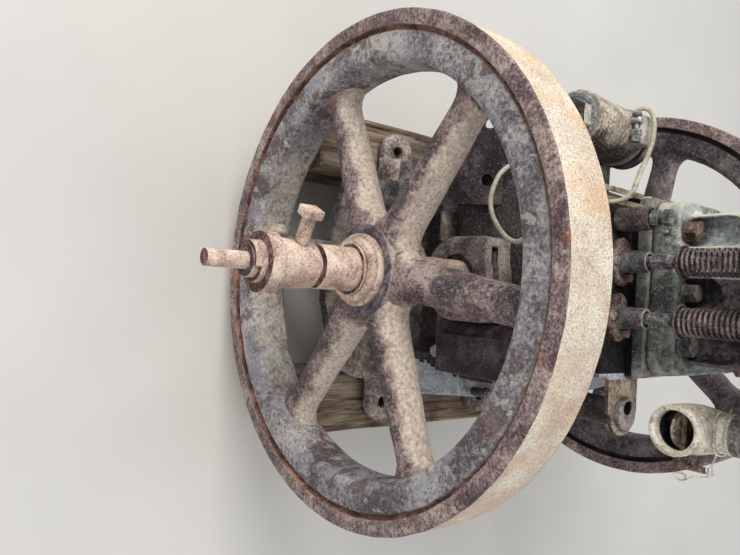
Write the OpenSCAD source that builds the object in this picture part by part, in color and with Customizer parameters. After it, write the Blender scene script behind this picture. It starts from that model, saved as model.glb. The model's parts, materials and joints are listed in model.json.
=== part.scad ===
// Vertical single-cylinder stationary engine with two spoked flywheels, on two timber bearers.
// Z is up, Y runs along the crankshaft, the starting-handle end is at -Y, the floor is at Z = 0.

/* [Flywheels] */
// Outer radius of both flywheels
wheel_r = 305; // [260:1:315]
// Width of the rim along the shaft
wheel_w = 69; // [50:1:90]
// Space between the inner faces of the two rims
wheel_gap = 531; // [525:1:600]
// Radial depth of the rim
rim_depth = 58; // [40:1:80]
// Radial width of the bare outer lip of the rim
lip_w = 18; // [8:1:26]
// How far the painted ring of the rim is set back from the lip
ring_set = 4; // [1:0.5:8]
// Radius of a spoke beside the hub
spoke_hub_r = 25; // [18:0.5:26]
// Radius of a spoke beside the rim
spoke_rim_r = 19.5; // [12:0.5:21]
// Radius of the wheel hub
hub_r = 56; // [50:1:65]
// How far the hub's face is set back from the rim's outer face
hub_set = 16; // [10:1:17]
// Place of the spokes' middle, behind the rim's outer face
spoke_in = 42; // [38:0.5:46]
// Turn of the front wheel's upper spoke, clockwise from straight up
front_turn = 8; // [-30:0.5:30]
// Turn of the rear wheel's upper spoke, clockwise from straight up
rear_turn = -17.5; // [-30:0.5:30]

/* [Crankshaft] */
// Height of the crankshaft above the floor
crank_z = 330; // [325:1:400]
// Radius of the shaft in its bearings and wheels
shaft_r = 25; // [18:0.5:30]
// Length of shaft beyond the outer face of each flywheel
overhang = 190; // [160:1:240]
// Radius of the rear end of the shaft, turned down for a pulley
pulley_r = 24; // [14:0.5:24.5]
// Radius of the turned-down nose that carries the starting dog
nose_r = 18; // [12:0.5:20]
// Radius of the bare pin at the end of the nose
pin_r = 9.5; // [5:0.5:11]
// Length of the bare pin
pin_len = 48; // [30:1:52]
// Outer radius of the spacer and dog sleeves
sleeve_r = 26; // [22:0.5:32]
// Outer radius of the flange on the dog sleeve
dog_flange_r = 34; // [30:0.5:42]
// Width of the open groove between the two sleeves
sleeve_groove = 7.5; // [2:0.5:9]
// Length of the spacer sleeve beside the hub
spacer_len = 53.5; // [30:0.5:60]
// Radius of the low ring at the spacer's foot
spacer_foot_r = 31; // [28:0.5:36]
// How much the dog sleeve widens towards its flange
dog_taper = 3; // [0:0.5:4]
// Length of the plain part of the dog sleeve
dog_len = 51; // [34:1:54]
// Outer radius of the collar pressed against the hub
collar_r = 44; // [38:1:50]
// Radius of the set screw in the dog sleeve
screw_r = 8; // [4:0.5:9]
// How far the set screw is turned up from level
screw_turn = 26; // [-60:1:60]
// Distance from the shaft's axis to the outer end of the set screw's square head
screw_reach = 69; // [50:1:90]
// Width of the square head
screw_head = 22; // [18:1:26]

/* [Bearers and feet] */
// Height of the two timber bearers
bearer_h = 130; // [100:1:170]
// Width of each bearer
bearer_w = 94; // [70:1:110]
// Length of each bearer, between the flywheels
bearer_len = 500; // [440:1:505]
// Distance between the foot holes across the engine
hole_dx = 400; // [380:1:410]
// Distance between the foot holes along the shaft
hole_dy = 228; // [200:1:260]
// Radius of the foot holes
hole_r = 9.5; // [6:0.5:12]
// Thickness of the base flange and its lugs
foot_t = 20; // [14:1:28]
// Radius of each foot lug
lug_r = 30; // [24:1:36]

/* [Crankcase] */
// Half width of the crankcase at the base flange
case_base_x = 186; // [170:1:190]
// Half width of the crankcase at the height of the shaft's top
case_mid_x = 158; // [140:1:165]
// Half width of the crankcase under the cylinder
case_top_x = 104; // [100:1:120]
// Half length of the crankcase along the shaft
case_y = 105; // [98:1:115]
// Half length of the base flange along the shaft
base_y = 170; // [160:1:185]
// Height of the crankcase's widest shoulder above the shaft's axis
shoulder_up = 42; // [20:1:60]
// Height of the crankcase's neck above the shaft's axis
neck_up = 190; // [150:1:220]
// Height of the sloping toe over the base flange
toe_up = 62; // [30:1:80]
// Height from the shaft's axis to the cylinder's seat
seat_up = 250; // [235:1:280]
// Half width of the open pocket under each bearing
pocket_x = 112; // [90:1:120]
// Height of the open pocket under each bearing
pocket_h = 96; // [60:1:110]
// Depth of the open pocket under each bearing
pocket_d = 62; // [30:1:75]

/* [Bearings and gear cover] */
// Half width of the bearing housings
house_x = 57; // [48:1:62]
// Height of the housing's flat top above the shaft's axis
house_up = 52; // [44:1:60]
// How far the bearing housings stand out from the crankcase
house_len = 52; // [40:1:60]
// Length of the oil slot in the top of the bearing
slot_len = 86; // [60:1:96]
// Width of the oil slot
slot_w = 11; // [6:1:16]
// Running clearance round the shaft
run_fit = 0.05; // [0.02:0.01:0.1]
// How far the gear cover stands out from the crankcase
gear_out = 30; // [20:1:40]
// Outer edge of the gear cover, from the shaft's axis
gear_x = 132; // [120:1:140]
// Lowest edge of the gear cover, below the shaft's axis
gear_down = 50; // [40:1:60]
// Top edge of the gear cover, above the shaft's axis
gear_up = 112; // [95:1:115]

/* [Cylinder] */
// Half width of the cylinder's foot flange
flange_x = 97; // [90:1:103]
// Thickness of the cylinder's foot flange
flange_t = 32; // [22:1:40]
// Half width of the water jacket
jacket_x = 84; // [76:1:88]
// Half length of the water jacket along the shaft
jacket_y = 94; // [86:1:97]
// Radius of the jacket's corners
jacket_r = 22; // [14:1:30]
// Radius of the pockets in the jacket for the foot's bolts
bolt_pocket_r = 15.5; // [13:0.5:17]
// Distance of the foot's bolts from its front edge
bolt_in = 21; // [18:1:24]
// Place of the middle foot bolt across the engine
bolt_mid_x = 4; // [-4:1:8]
// Distance of the corner foot bolts from the engine's middle
bolt_side_x = 62; // [56:1:64]
// Height of the middle bolt's pocket up to the start of its arch
bolt_pocket_up = 27; // [20:1:34]
// How far the jacket's face is set back on the inlet side
face_back = 6; // [3:0.5:9]
// Height of the cylinder from its seat to the head
block_h = 250; // [235:1:300]
// Height of the valve chest's underside above the cylinder's seat
chest_up = 135; // [130:1:160]
// Height of the valve chest
chest_h = 85; // [60:1:100]
// How far the valve chest stands out in front of the crankcase
chest_out = 62; // [52:1:64]
// Thickness of the cylinder head
head_t = 42; // [30:1:60]

/* [Valve gear] */
// Distance of the tappets in front of the crankcase
tappet_out = 29.5; // [26:0.5:34]
// Place of the inlet tappet across the engine
inlet_x = 36; // [30:1:45]
// Place of the exhaust tappet across the engine
exhaust_x = -26; // [-34:1:-22]
// Place of the decompressor tube across the engine
plunger_x = -73; // [-78:1:-70]
// Height of the cam box's top below the cylinder's seat
cam_drop = 22; // [16:1:30]
// Height of the cam box
cam_h = 104; // [60:1:104]
// How far the cam box stands out from the crankcase
cam_out = 52; // [50:1:60]
// Radius of the flange under a tappet guide
guide_flange_r = 27; // [22:0.5:29]
// Height of a tappet guide
guide_h = 39; // [25:1:42]
// Radius of a tappet guide at its top
guide_r = 11.5; // [10:0.5:13]
// Across corners of the tappet adjuster, as a radius
adjust_r = 9; // [8:0.5:11]
// Height of the tappet adjuster above the guide
adjust_h = 32; // [20:1:34]
// Radius of a valve stem
stem_r = 4; // [3:0.25:5]
// Radius of a spring retainer
retainer_r = 17; // [16.5:0.5:22]
// Thickness of a spring retainer
retainer_t = 4; // [3:1:10]
// Mean radius of a valve spring
spring_r = 13.5; // [12:0.5:14]
// Radius of the spring wire
wire_r = 1.5; // [1.25:0.25:1.75]
// Turns in a valve spring
spring_turns = 15; // [9:1:16]

/* [Intake] */
// Place of the intake across the engine
intake_x = 148; // [142:1:156]
// Height of the intake's mouth above the shaft's axis
mouth_up = 304; // [295:1:315]
// Outer radius of the intake's mouth
mouth_r = 27; // [24:0.5:30]
// Inner radius of the intake
throat_r = 21; // [17:0.5:22]
// Place of the mouth's face, in front of the shaft's middle
mouth_y = 139; // [130:1:150]
// Outer radius of the elbow's body
elbow_r = 26; // [24:0.5:28]
// Outer radius of the collar above the elbow
throttle_r = 21.5; // [20:0.5:24]
// Clearance between the choke disc and the throat
disc_gap = 1; // [0.5:0.25:2]
// Thickness of the choke disc
disc_t = 2; // [1:0.5:3]
// Tilt of the choke disc at rest, from level
disc_tilt = 11; // [0:1:30]
// Length of the choke lever, from its spindle
lever_len = 26; // [18:1:40]
// Width of the choke lever
lever_w = 10; // [8:1:14]
// Thickness of the choke lever
lever_t = 5; // [3:0.5:6]
// Radius of the choke spindle
spindle_r = 3.5; // [2.5:0.25:4.5]

/* [Magneto] */
// Place of the magneto across the engine
mag_x = -200; // [-210:1:-190]
// Height of the magneto above the shaft's axis
mag_up = 145; // [140:1:160]
// Radius of the magneto's flange
mag_ring_r = 39; // [38:1:46]
// Radius of the magneto's body at its flange
mag_back_r = 36; // [32:1:37]
// Radius of the magneto's body at its front
mag_front_r = 37; // [34:1:38]
// Length of the magneto's body
mag_len = 108; // [90:1:115]
// Turn of the magneto's axis away from the shaft's
mag_turn = 2; // [0:1:8]
// Thickness of the magneto shelf's plate
shelf_t = 8; // [6:1:12]
// Outer edge of the magneto shelf
shelf_x = -250; // [-260:1:-240]
// Front edge of the shelf's flat top, in front of the shaft's middle
shelf_front = 62; // [50:1:75]
// Back edge of the shelf's flat top, behind the shaft's middle
shelf_back = 36; // [20:1:50]
// Lower edge of the sloping apron, in front of the shaft's middle
apron_out = 134; // [110:1:140]
// Lower edge of the sloping apron, below the shaft's axis
apron_drop = 20; // [0:1:40]
// Depth of the lip along the apron's lower edge
apron_lip = 10; // [6:1:16]
// Height of the apron's two holes above the shaft's axis
apron_hole_up = 11; // [8:1:20]
// Place of the apron's inner hole, from the shaft's axis
apron_hole_in = 139; // [125:1:150]
// Place of the apron's outer hole, from the shaft's axis
apron_hole_far = 220; // [190:1:230]
// Radius of the holes in the shelf's sloping apron
apron_hole_r = 8.5; // [5:0.5:11]

/* [Hidden] */

$fn = 48;
// seat clearance between round fitted pieces
fit = 0.05;
// overlap used to join solids of one piece and to run cutters past a face
eps = 1;

base_z = bearer_h;
seat_z = crank_z + seat_up;
cam_z = seat_z - cam_drop;
chest_z = seat_z + chest_up;
head_z = seat_z + block_h;
tappet_y = -case_y - tappet_out;
wheel_y = wheel_gap / 2;
face_y = wheel_y + wheel_w;
nose_y = face_y + overhang;
guide_z = cam_z + guide_h;
retainer_z = guide_z + adjust_h + 1;
spring_z = retainer_z + retainer_t;
mouth_z = crank_z + mouth_up;
mag_z = crank_z + mag_up;
shelf_z = mag_z - mag_ring_r;
mag_y = -4;
// front bearing's pocket floor and the top of the base flange
skirt_z = base_z + foot_t;
// post on the cam box's lug
post_x = 146;
post_y = -103;
post_r = 16;
post_len = 84;
// bend of the intake elbow and place of the choke spindle
bend_y = -94;
neck_h = 44;
disc_y = -mouth_y + 24;
// half width of the valve chest
chest_x = 92;
// left end of the cam box
cam_left = 90;
// flange and step of the starting dog, which end where the bare pin starts
flange_len = 16;
dog_y = -face_y - spacer_len - sleeve_groove;
step_len = overhang - pin_len - spacer_len - sleeve_groove - dog_len - flange_len;
// the set screw's place along the dog sleeve
screw_y = dog_y - 20;
// the lead's radius and route: from the magneto's flange over its clamp, behind the open tube, down
// in a loop in front of the cam box and back to the magneto's side
lead_r = 3;
lead_points = [[-226.4, -27, 505], [-229, -26, 511], [-229.5, -25, 517], [-227, -24.5, 523], [-221, -24.5, 528],
    [-211, -26, 531.5], [-199, -29.5, 534.5], [-183, -36.5, 537], [-164.5, -48, 539], [-142, -66, 541.5],
    [-130.5, -78, 545], [-119.5, -89, 548.5], [-111.5, -99, 552], [-106.5, -108.5, 554], [-100.5, -115.5, 552.5],
    [-96.5, -121.5, 545], [-95.5, -128.5, 533], [-96, -139, 516], [-96, -152, 498], [-88, -165, 483],
    [-70, -172, 474], [-54, -173, 462], [-47, -172, 447], [-50, -171, 432], [-61, -170, 417],
    [-81, -166, 399], [-102, -162, 390], [-123, -154, 388], [-141, -144, 390], [-154, -132, 402],
    [-159.5, -118, 424], [-162, -107, 446], [-163.8, -98, 466]];

// a cylinder along Y that starts at y and runs l towards +Y
module rod_y(x, y, z, r, l, r2 = undef) {
    translate([x, y, z]) rotate([-90, 0, 0]) cylinder(h = l, r1 = r, r2 = is_undef(r2) ? r : r2);
}

// a cylinder along X that starts at x and runs l towards +X
module rod_x(x, y, z, r, l) {
    translate([x, y, z]) rotate([0, 90, 0]) cylinder(h = l, r = r);
}

// a flat plate with round corners, centred on the Z axis
module round_plate(hx, hy, r, h) {
    linear_extrude(h) union() {
        square([2 * hx, 2 * (hy - r)], center = true);
        square([2 * (hx - r), 2 * hy], center = true);
        for (sx = [-1, 1], sy = [-1, 1]) translate([sx * (hx - r), sy * (hy - r)]) circle(r = r);
    }
}

// timber under one side of the engine, drilled for the foot bolts
module bearer(side) {
    color("tan") difference() {
        translate([side * hole_dx / 2 - bearer_w / 2, -bearer_len / 2, 0])
            cube([bearer_w, bearer_len, bearer_h]);
        for (s = [-1, 1]) translate([side * hole_dx / 2, s * hole_dy / 2, -eps])
            cylinder(h = bearer_h + 2 * eps, r = hole_r);
    }
}

module left_bearer() { bearer(-1); }
module right_bearer() { bearer(1); }

// outline of the base flange, with a shallow tongue under each bearing and a lug at each foot hole
module base_outline() {
    tongue_x = 142;
    tongue_y = base_y + 44;
    nose_half = 44;
    tongue_tip = base_y + 70;
    polygon([[-case_base_x + 26, -base_y], [-tongue_x, -tongue_y], [-nose_half, -tongue_tip],
        [nose_half, -tongue_tip], [tongue_x, -tongue_y], [case_base_x - 26, -base_y],
        [case_base_x - 26, base_y], [tongue_x, tongue_y], [nose_half, tongue_tip],
        [-nose_half, tongue_tip], [-tongue_x, tongue_y], [-case_base_x + 26, base_y]]);
    for (sx = [-1, 1], sy = [-1, 1]) {
        translate([sx * hole_dx / 2, sy * hole_dy / 2]) circle(r = lug_r);
        translate([sx * (hole_dx / 2 + case_base_x - 60) / 2, sy * hole_dy / 2])
            square([hole_dx / 2 - case_base_x + 60, 2 * lug_r], center = true);
    }
}

// flared body of the crankcase, without its pockets and bores
module case_body() {
    shoulder_z = crank_z + shoulder_up;
    neck_z = crank_z + neck_up;
    intersection() {
        translate([0, base_y, 0]) rotate([90, 0, 0]) linear_extrude(2 * base_y)
            polygon([[-case_base_x, skirt_z - eps], [case_base_x, skirt_z - eps], [case_mid_x, shoulder_z],
                [case_top_x, neck_z], [case_top_x, seat_z], [-case_top_x, seat_z],
                [-case_top_x, neck_z], [-case_mid_x, shoulder_z]]);
        translate([-case_base_x, 0, 0]) rotate([90, 0, 90]) linear_extrude(2 * case_base_x)
            polygon([[-base_y + 12, skirt_z - eps], [base_y - 12, skirt_z - eps], [case_y, skirt_z + toe_up],
                [case_y, seat_z], [-case_y, seat_z], [-case_y, skirt_z + toe_up]]);
    }
}

module crankcase() {
    color("slategray") difference() {
        union() {
            translate([0, 0, base_z]) linear_extrude(foot_t) base_outline();
            case_body();
        }
        for (sx = [-1, 1], sy = [-1, 1]) translate([sx * hole_dx / 2, sy * hole_dy / 2, base_z - eps])
            cylinder(h = foot_t + 2 * eps, r = hole_r);
        rod_y(0, -base_y, crank_z, shaft_r + 6, 2 * base_y);
        for (s = [-1, 1]) translate([-pocket_x, s > 0 ? case_y - pocket_d : -base_y, skirt_z])
            cube([2 * pocket_x, base_y - case_y + pocket_d, pocket_h]);
    }
}

// ring-oiled main bearing, standing out from the crankcase with a round belly and an oil slot on top
module bearing(side) {
    belly_r = house_x;
    recess_r = shaft_r + 8;
    recess_d = 7;
    color("rosybrown") rotate([0, 0, side > 0 ? 180 : 0]) difference() {
        union() {
            rod_y(0, -case_y - house_len, crank_z, belly_r, house_len);
            translate([-house_x, -case_y - house_len, crank_z]) cube([2 * house_x, house_len, house_up]);
        }
        rod_y(0, -case_y - house_len - eps, crank_z, shaft_r + run_fit, house_len + 2 * eps);
        rod_y(0, -case_y - house_len - eps, crank_z, recess_r, recess_d + eps);
        translate([-slot_len / 2, -case_y - house_len + 14, crank_z + shaft_r + 12])
            cube([slot_len, slot_w, house_up]);
    }
}

module front_bearing() { bearing(-1); }
module rear_bearing() { bearing(1); }

// timing gear cover beside the front bearing: a round-topped barrel and a flat box
module gear_cover() {
    barrel_r = 20;
    barrel_x = house_x + barrel_r;
    box_z = crank_z - gear_down;
    color("thistle") difference() {
        union() {
            translate([barrel_x, -case_y, box_z]) cylinder(h = gear_down + gear_up - 12, r = barrel_r);
            translate([barrel_x, -case_y - gear_out, box_z])
                cube([gear_x - barrel_x, gear_out, gear_down + gear_up]);
        }
        translate([house_x, -case_y, box_z - eps]) cube([gear_x, 2 * barrel_r, gear_down + gear_up + 2 * eps]);
    }
}

// hexagon plug under the gear cover
module gear_plug() {
    plug_x = 106;
    plug_z = crank_z - gear_down - 16;
    color("peru") union() {
        rod_y(plug_x, -case_y - 6, plug_z, 12, 6);
        translate([plug_x, -case_y - 6, plug_z]) rotate([90, 0, 0]) cylinder(h = 12, r = 9, $fn = 6);
    }
}

// oil drain plug on the base flange, in front of the pocket
module drain_plug() {
    plug_x = 52;
    color("lightgray") translate([plug_x, -base_y + 12, base_z + foot_t]) union() {
        cylinder(h = 34, r = 9);
        translate([0, 0, 34]) cylinder(h = 8, r = 13);
    }
}

// cam box across the front of the crankcase, with a lug on its right that holds the post
module cam_box() {
    lug_t = 7;
    lug_from = 22;
    color("dimgray") difference() {
        union() {
            translate([-cam_left, -case_y - cam_out, cam_z - cam_h])
                cube([cam_left + case_top_x, cam_out, cam_h]);
            translate([case_top_x - eps, -case_y - cam_out + lug_from, cam_z - lug_t])
                cube([post_x - case_top_x + eps, 60, lug_t]);
            translate([post_x, post_y, cam_z - lug_t]) cylinder(h = lug_t, r = 26);
        }
        translate([post_x, post_y, cam_z - lug_t - eps]) cylinder(h = lug_t + 2 * eps, r = post_r + fit);
        case_body();
    }
}

// upright post with a capped top, held in the cam box's lug
module side_post() {
    color("wheat") difference() {
        union() {
            translate([post_x, post_y, cam_z - post_len]) cylinder(h = post_len, r = post_r);
            translate([post_x, post_y, cam_z]) cylinder(h = 5, r = post_r + 2.5);
        }
        translate([post_x - 7, post_y + 2, cam_z - 30]) cylinder(h = 60, r = 7);
    }
}

// arched pocket over a foot bolt, open to the front
module bolt_pocket(x, up) {
    translate([x, -case_y + bolt_in + bolt_pocket_r, seat_z + flange_t])
        rotate([90, 0, 0]) linear_extrude(bolt_in + bolt_pocket_r) union() {
            translate([-bolt_pocket_r, 0]) square([2 * bolt_pocket_r, up]);
            translate([0, up]) circle(r = bolt_pocket_r);
        }
}

// one-piece cylinder with its foot flange, water jacket and valve chest
module cylinder_block() {
    foot_top = seat_z + flange_t;
    color("cadetblue") difference() {
        union() {
            translate([0, 0, seat_z]) round_plate(flange_x, case_y - 1, 18, flange_t);
            translate([0, 0, foot_top - eps]) round_plate(jacket_x, jacket_y, jacket_r, block_h - flange_t + eps);
            translate([-chest_x, -case_y - chest_out, chest_z])
                cube([2 * chest_x, case_y + chest_out, chest_h]);
        }
        bolt_pocket(bolt_mid_x, bolt_pocket_up);
        for (s = [-1, 1]) bolt_pocket(s * bolt_side_x, 1.8 * bolt_pocket_up);
        translate([bolt_mid_x, -case_y, foot_top])
            cube([jacket_x, case_y - jacket_y + face_back, chest_z - foot_top]);
    }
}

module cylinder_head() {
    color("cadetblue") union() {
        translate([0, 0, head_z]) round_plate(jacket_x, jacket_y, jacket_r, head_t);
        translate([0, 0, head_z + head_t - eps]) cylinder(h = 13 + eps, r = 34);
    }
}

module spark_plug() {
    top = head_z + head_t + 13;
    color("gainsboro") translate([0, 0, top]) union() {
        cylinder(h = 14, r = 12, $fn = 6);
        translate([0, 0, 14 - eps]) cylinder(h = 34 + eps, r1 = 8, r2 = 5);
        translate([0, 0, 48 - eps]) cylinder(h = 8, r = 3.5);
    }
}

// oval flange of the exhaust port, on the left end of the valve chest
module exhaust_flange() {
    port_y = -case_y - 12;
    port_len = 26;
    port_z = chest_z + 45;
    color("sienna") difference() {
        union() {
            rod_x(-chest_x - port_len, port_y, port_z, 24, port_len);
            translate([-chest_x - port_len, port_y - 38, port_z - 14]) cube([12, 76, 28]);
        }
        rod_x(-chest_x - port_len - eps, port_y, port_z, 16, port_len);
        for (s = [-1, 1]) rod_x(-chest_x - port_len - eps, port_y + s * 31, port_z, 5, 12 + 2 * eps);
    }
}

// water outlet on the back of the cylinder head
module water_outlet() {
    out_y = jacket_y;
    out_z = head_z + head_t / 2;
    color("slategray") difference() {
        union() {
            rod_y(0, out_y, out_z, 17, 30);
            rod_y(0, out_y + 22, out_z, 20, 8);
        }
        rod_y(0, out_y + 3, out_z, 12, 40);
    }
}

module tappet_guide(x) {
    color("slategray") difference() {
        translate([x, tappet_y, cam_z]) union() {
            cylinder(h = 7, r = 17);
            for (s = [-1, 1]) translate([s * (guide_flange_r - 13), 3, 0]) cylinder(h = 6, r = 13);
            translate([0, 0, 6]) cylinder(h = guide_h - 6, r1 = guide_r + 2, r2 = guide_r);
        }
        translate([x, tappet_y, cam_z - eps]) cylinder(h = guide_h + 2 * eps, r = 8 + fit);
    }
}

// tappet with its hexagon adjuster and lock nut
module tappet(x) {
    color("dimgray") translate([x, tappet_y, cam_z]) union() {
        cylinder(h = guide_h + 4, r = 8);
        translate([0, 0, guide_h + 3]) rotate([0, 0, 30]) cylinder(h = adjust_h - 12, r = adjust_r, $fn = 6);
        translate([0, 0, guide_h + adjust_h - 10]) cylinder(h = 7, r1 = adjust_r - 1.5, r2 = adjust_r - 4);
        translate([0, 0, guide_h + adjust_h - 6]) cylinder(h = 6, r = 5);
    }
}

// valve stem with its dished spring retainer
module valve(x) {
    color("saddlebrown") translate([x, tappet_y, 0]) union() {
        translate([0, 0, retainer_z - 1]) cylinder(h = chest_z - retainer_z + 1, r = stem_r);
        translate([0, 0, retainer_z]) cylinder(h = retainer_t, r1 = retainer_r - 2, r2 = retainer_r);
    }
}

// the ring of points round the spring wire at turn t
function wire_ring(t, z, sides) = [for (i = [0:sides - 1])
    let (a = 360 * t, b = 360 * i / sides, r = spring_r + wire_r * cos(b))
    [r * cos(a), r * sin(a), z + wire_r * sin(b)]];

// coil spring: closed end turns lie flat, the turns between them climb evenly
module valve_spring(x) {
    sides = 6;
    per_turn = 12;
    n = spring_turns * per_turn;
    low = spring_z + wire_r;
    rise = chest_z - spring_z - 2 * wire_r;
    end_turn = 1;
    function climb(t) = min(max((t - end_turn) / (spring_turns - 2 * end_turn), 0), 1);
    // the flat end turns are one wire apart from the working turns
    lead_in = 2 * wire_r + 0.6;
    function wire_z(t) = low + lead_in * (min(t, end_turn) / end_turn
        + max(t - spring_turns + end_turn, 0) / end_turn) + (rise - 2 * lead_in) * climb(t);
    points = [for (k = [0:n]) each wire_ring(k / per_turn, wire_z(k / per_turn), sides)];
    caps = [[for (i = [0:sides - 1]) sides - 1 - i], [for (i = [0:sides - 1]) n * sides + i]];
    walls = [for (k = [0:n - 1], i = [0:sides - 1])
        [k * sides + i, k * sides + (i + 1) % sides,
            (k + 1) * sides + (i + 1) % sides, (k + 1) * sides + i]];
    color("peru") translate([x, tappet_y, 0]) polyhedron(points = points, faces = concat(caps, walls));
}

module inlet_guide() { tappet_guide(inlet_x); }
module exhaust_guide() { tappet_guide(exhaust_x); }
module inlet_tappet() { tappet(inlet_x); }
module exhaust_tappet() { tappet(exhaust_x); }
module inlet_valve() { valve(inlet_x); }
module exhaust_valve() { valve(exhaust_x); }
module inlet_spring() { valve_spring(inlet_x); }
module exhaust_spring() { valve_spring(exhaust_x); }

// plain open tube on the left of the tappets
module plunger_tube() {
    color("rosybrown") translate([plunger_x, tappet_y, cam_z]) difference() {
        cylinder(h = guide_h, r = 13);
        translate([0, 0, -eps]) cylinder(h = guide_h + 2 * eps, r = 9.5);
    }
}

// bolt with two stacked nuts that stands in the open tube
module plunger() {
    color("dimgray") translate([plunger_x, tappet_y, cam_z]) union() {
        cylinder(h = guide_h + 18, r = 6.5);
        translate([0, 0, guide_h + 1]) cylinder(h = 9, r = 9, $fn = 6);
        translate([0, 0, guide_h + 13]) cylinder(h = 11, r = 9, $fn = 6);
    }
}

// cast intake elbow: its mouth faces the front, its neck turns straight up
module elbow_shape(r, reach, top_r) {
    rod_y(intake_x, -mouth_y, mouth_z, r, bend_y + mouth_y);
    translate([intake_x, bend_y, mouth_z]) sphere(r = r);
    translate([intake_x, bend_y, mouth_z]) cylinder(h = reach, r1 = r, r2 = top_r);
}

module intake_elbow() {
    lip_len = 16;
    boss_r = 8;
    color("wheat") difference() {
        union() {
            elbow_shape(elbow_r, neck_h, throttle_r - 2);
            rod_y(intake_x, -mouth_y, mouth_z, mouth_r, lip_len);
            rod_x(intake_x, disc_y, mouth_z, boss_r, mouth_r + 8);
        }
        elbow_shape(throat_r, neck_h + eps, throttle_r - 6);
        rod_y(intake_x, -mouth_y - eps, mouth_z, throat_r, lip_len);
        rod_x(intake_x - throat_r - 3, disc_y, mouth_z, spindle_r + fit, 2 * mouth_r + 3 * boss_r);
    }
}

// round throttle body above the elbow
module throttle_body() {
    low = mouth_z + neck_h;
    color("dimgray") difference() {
        union() {
            translate([intake_x, bend_y, low]) cylinder(h = 9, r = throttle_r);
            translate([intake_x, bend_y, low + 8]) cylinder(h = 40, r = throttle_r - 1.5);
            translate([intake_x, bend_y, low + 40]) cylinder(h = 8, r = elbow_r + 2);
        }
        translate([intake_x, bend_y, low - eps]) cylinder(h = 60, r = throttle_r - 6);
    }
}

// pipe from the throttle body up and across into the valve chest
module intake_pipe() {
    low = mouth_z + neck_h + 48;
    turn_z = low + 30;
    pipe_r = 19;
    color("slategray") union() {
        translate([intake_x, bend_y, low]) cylinder(h = turn_z - low, r = pipe_r);
        translate([intake_x, bend_y, low]) cylinder(h = 7, r = elbow_r + 2);
        translate([intake_x, bend_y, turn_z]) sphere(r = pipe_r);
        rod_x(chest_x, bend_y, turn_z, pipe_r, intake_x - chest_x);
        rod_x(chest_x, bend_y, turn_z, 27, 9);
    }
}

// choke disc on its spindle, tilted as it stands at rest
module choke_disc() {
    color("tan") union() {
        translate([intake_x, disc_y, mouth_z]) rotate([disc_tilt, 0, 0])
            translate([0, 0, -disc_t / 2]) cylinder(h = disc_t, r = throat_r - disc_gap);
        rod_x(intake_x - throat_r - 2, disc_y, mouth_z, spindle_r, throat_r + 2 + mouth_r + 14);
    }
}

// lever on the outer end of the choke spindle
module choke_lever() {
    at_x = intake_x + mouth_r + 8.5;
    color("tan") difference() {
        union() {
            rod_x(at_x, disc_y, mouth_z, lever_w / 2 + 3, lever_t);
            translate([at_x, disc_y - lever_w / 2, mouth_z]) cube([lever_t, lever_w, lever_len]);
        }
        rod_x(at_x - eps, disc_y, mouth_z, spindle_r + fit, lever_t + 2 * eps);
    }
}

// shelf for the magneto, with a sloping apron that comes down in front of it
module magneto_shelf() {
    toe_z = crank_z - apron_drop;
    rake = atan2(apron_out - shelf_front, shelf_z - toe_z);
    hole_y = -apron_out + (apron_drop + apron_hole_up) * tan(rake);
    color("saddlebrown") difference() {
        translate([shelf_x, 0, 0]) rotate([90, 0, 90]) linear_extrude(-shelf_x - case_top_x)
            polygon([[shelf_back, shelf_z], [-shelf_front, shelf_z], [-apron_out, toe_z],
                [-apron_out, toe_z - apron_lip], [-apron_out + shelf_t, toe_z - apron_lip],
                [-shelf_front + shelf_t, shelf_z - shelf_t], [shelf_back, shelf_z - shelf_t]]);
        case_body();
        for (x = [-apron_hole_in, -apron_hole_far]) translate([x, hole_y, crank_z + apron_hole_up])
            rotate([90 - rake, 0, 0]) cylinder(h = 8 * shelf_t, r = apron_hole_r, center = true);
    }
}

// places things on the magneto's own axis: local -Y runs out of its front
module on_magneto() {
    translate([mag_x, mag_y, mag_z]) rotate([0, 0, -mag_turn]) children();
}

module magneto_body() {
    color("khaki") on_magneto() rod_y(0, -mag_len, 0, mag_front_r, mag_len, mag_back_r);
}

module magneto_ring() {
    color("dimgray") union() {
        on_magneto() rod_y(0, 0, 0, mag_ring_r, 14);
        on_magneto() translate([-30, 0, -mag_ring_r]) cube([60, 14, mag_ring_r]);
    }
}

// strap clamp on top of the body, with its two bolts
module magneto_clamp() {
    color("lightgray") on_magneto() difference() {
        translate([-19, -34, 0]) cube([38, 24, mag_front_r + 10]);
        rod_y(0, -mag_len, 0, mag_front_r + 0.1, mag_len, mag_back_r + 0.1);
        translate([-30, -60, -10]) cube([60, 80, 34]);
    }
}

module magneto_cap() {
    color("lightsteelblue") on_magneto() union() {
        rod_y(0, -mag_len - 5, 0, 33, 5);
        translate([0, -mag_len - 4, 6]) rotate([90, 0, 0]) cylinder(h = 16, r = 24, $fn = 6);
    }
}

// a point between b and c on a smooth curve through a, b, c and d
function on_curve(a, b, c, d, t) = 0.5 * (2 * b + (c - a) * t + (2 * a - 5 * b + 4 * c - d) * t * t
    + (3 * b - a - 3 * c + d) * t * t * t);

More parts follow.
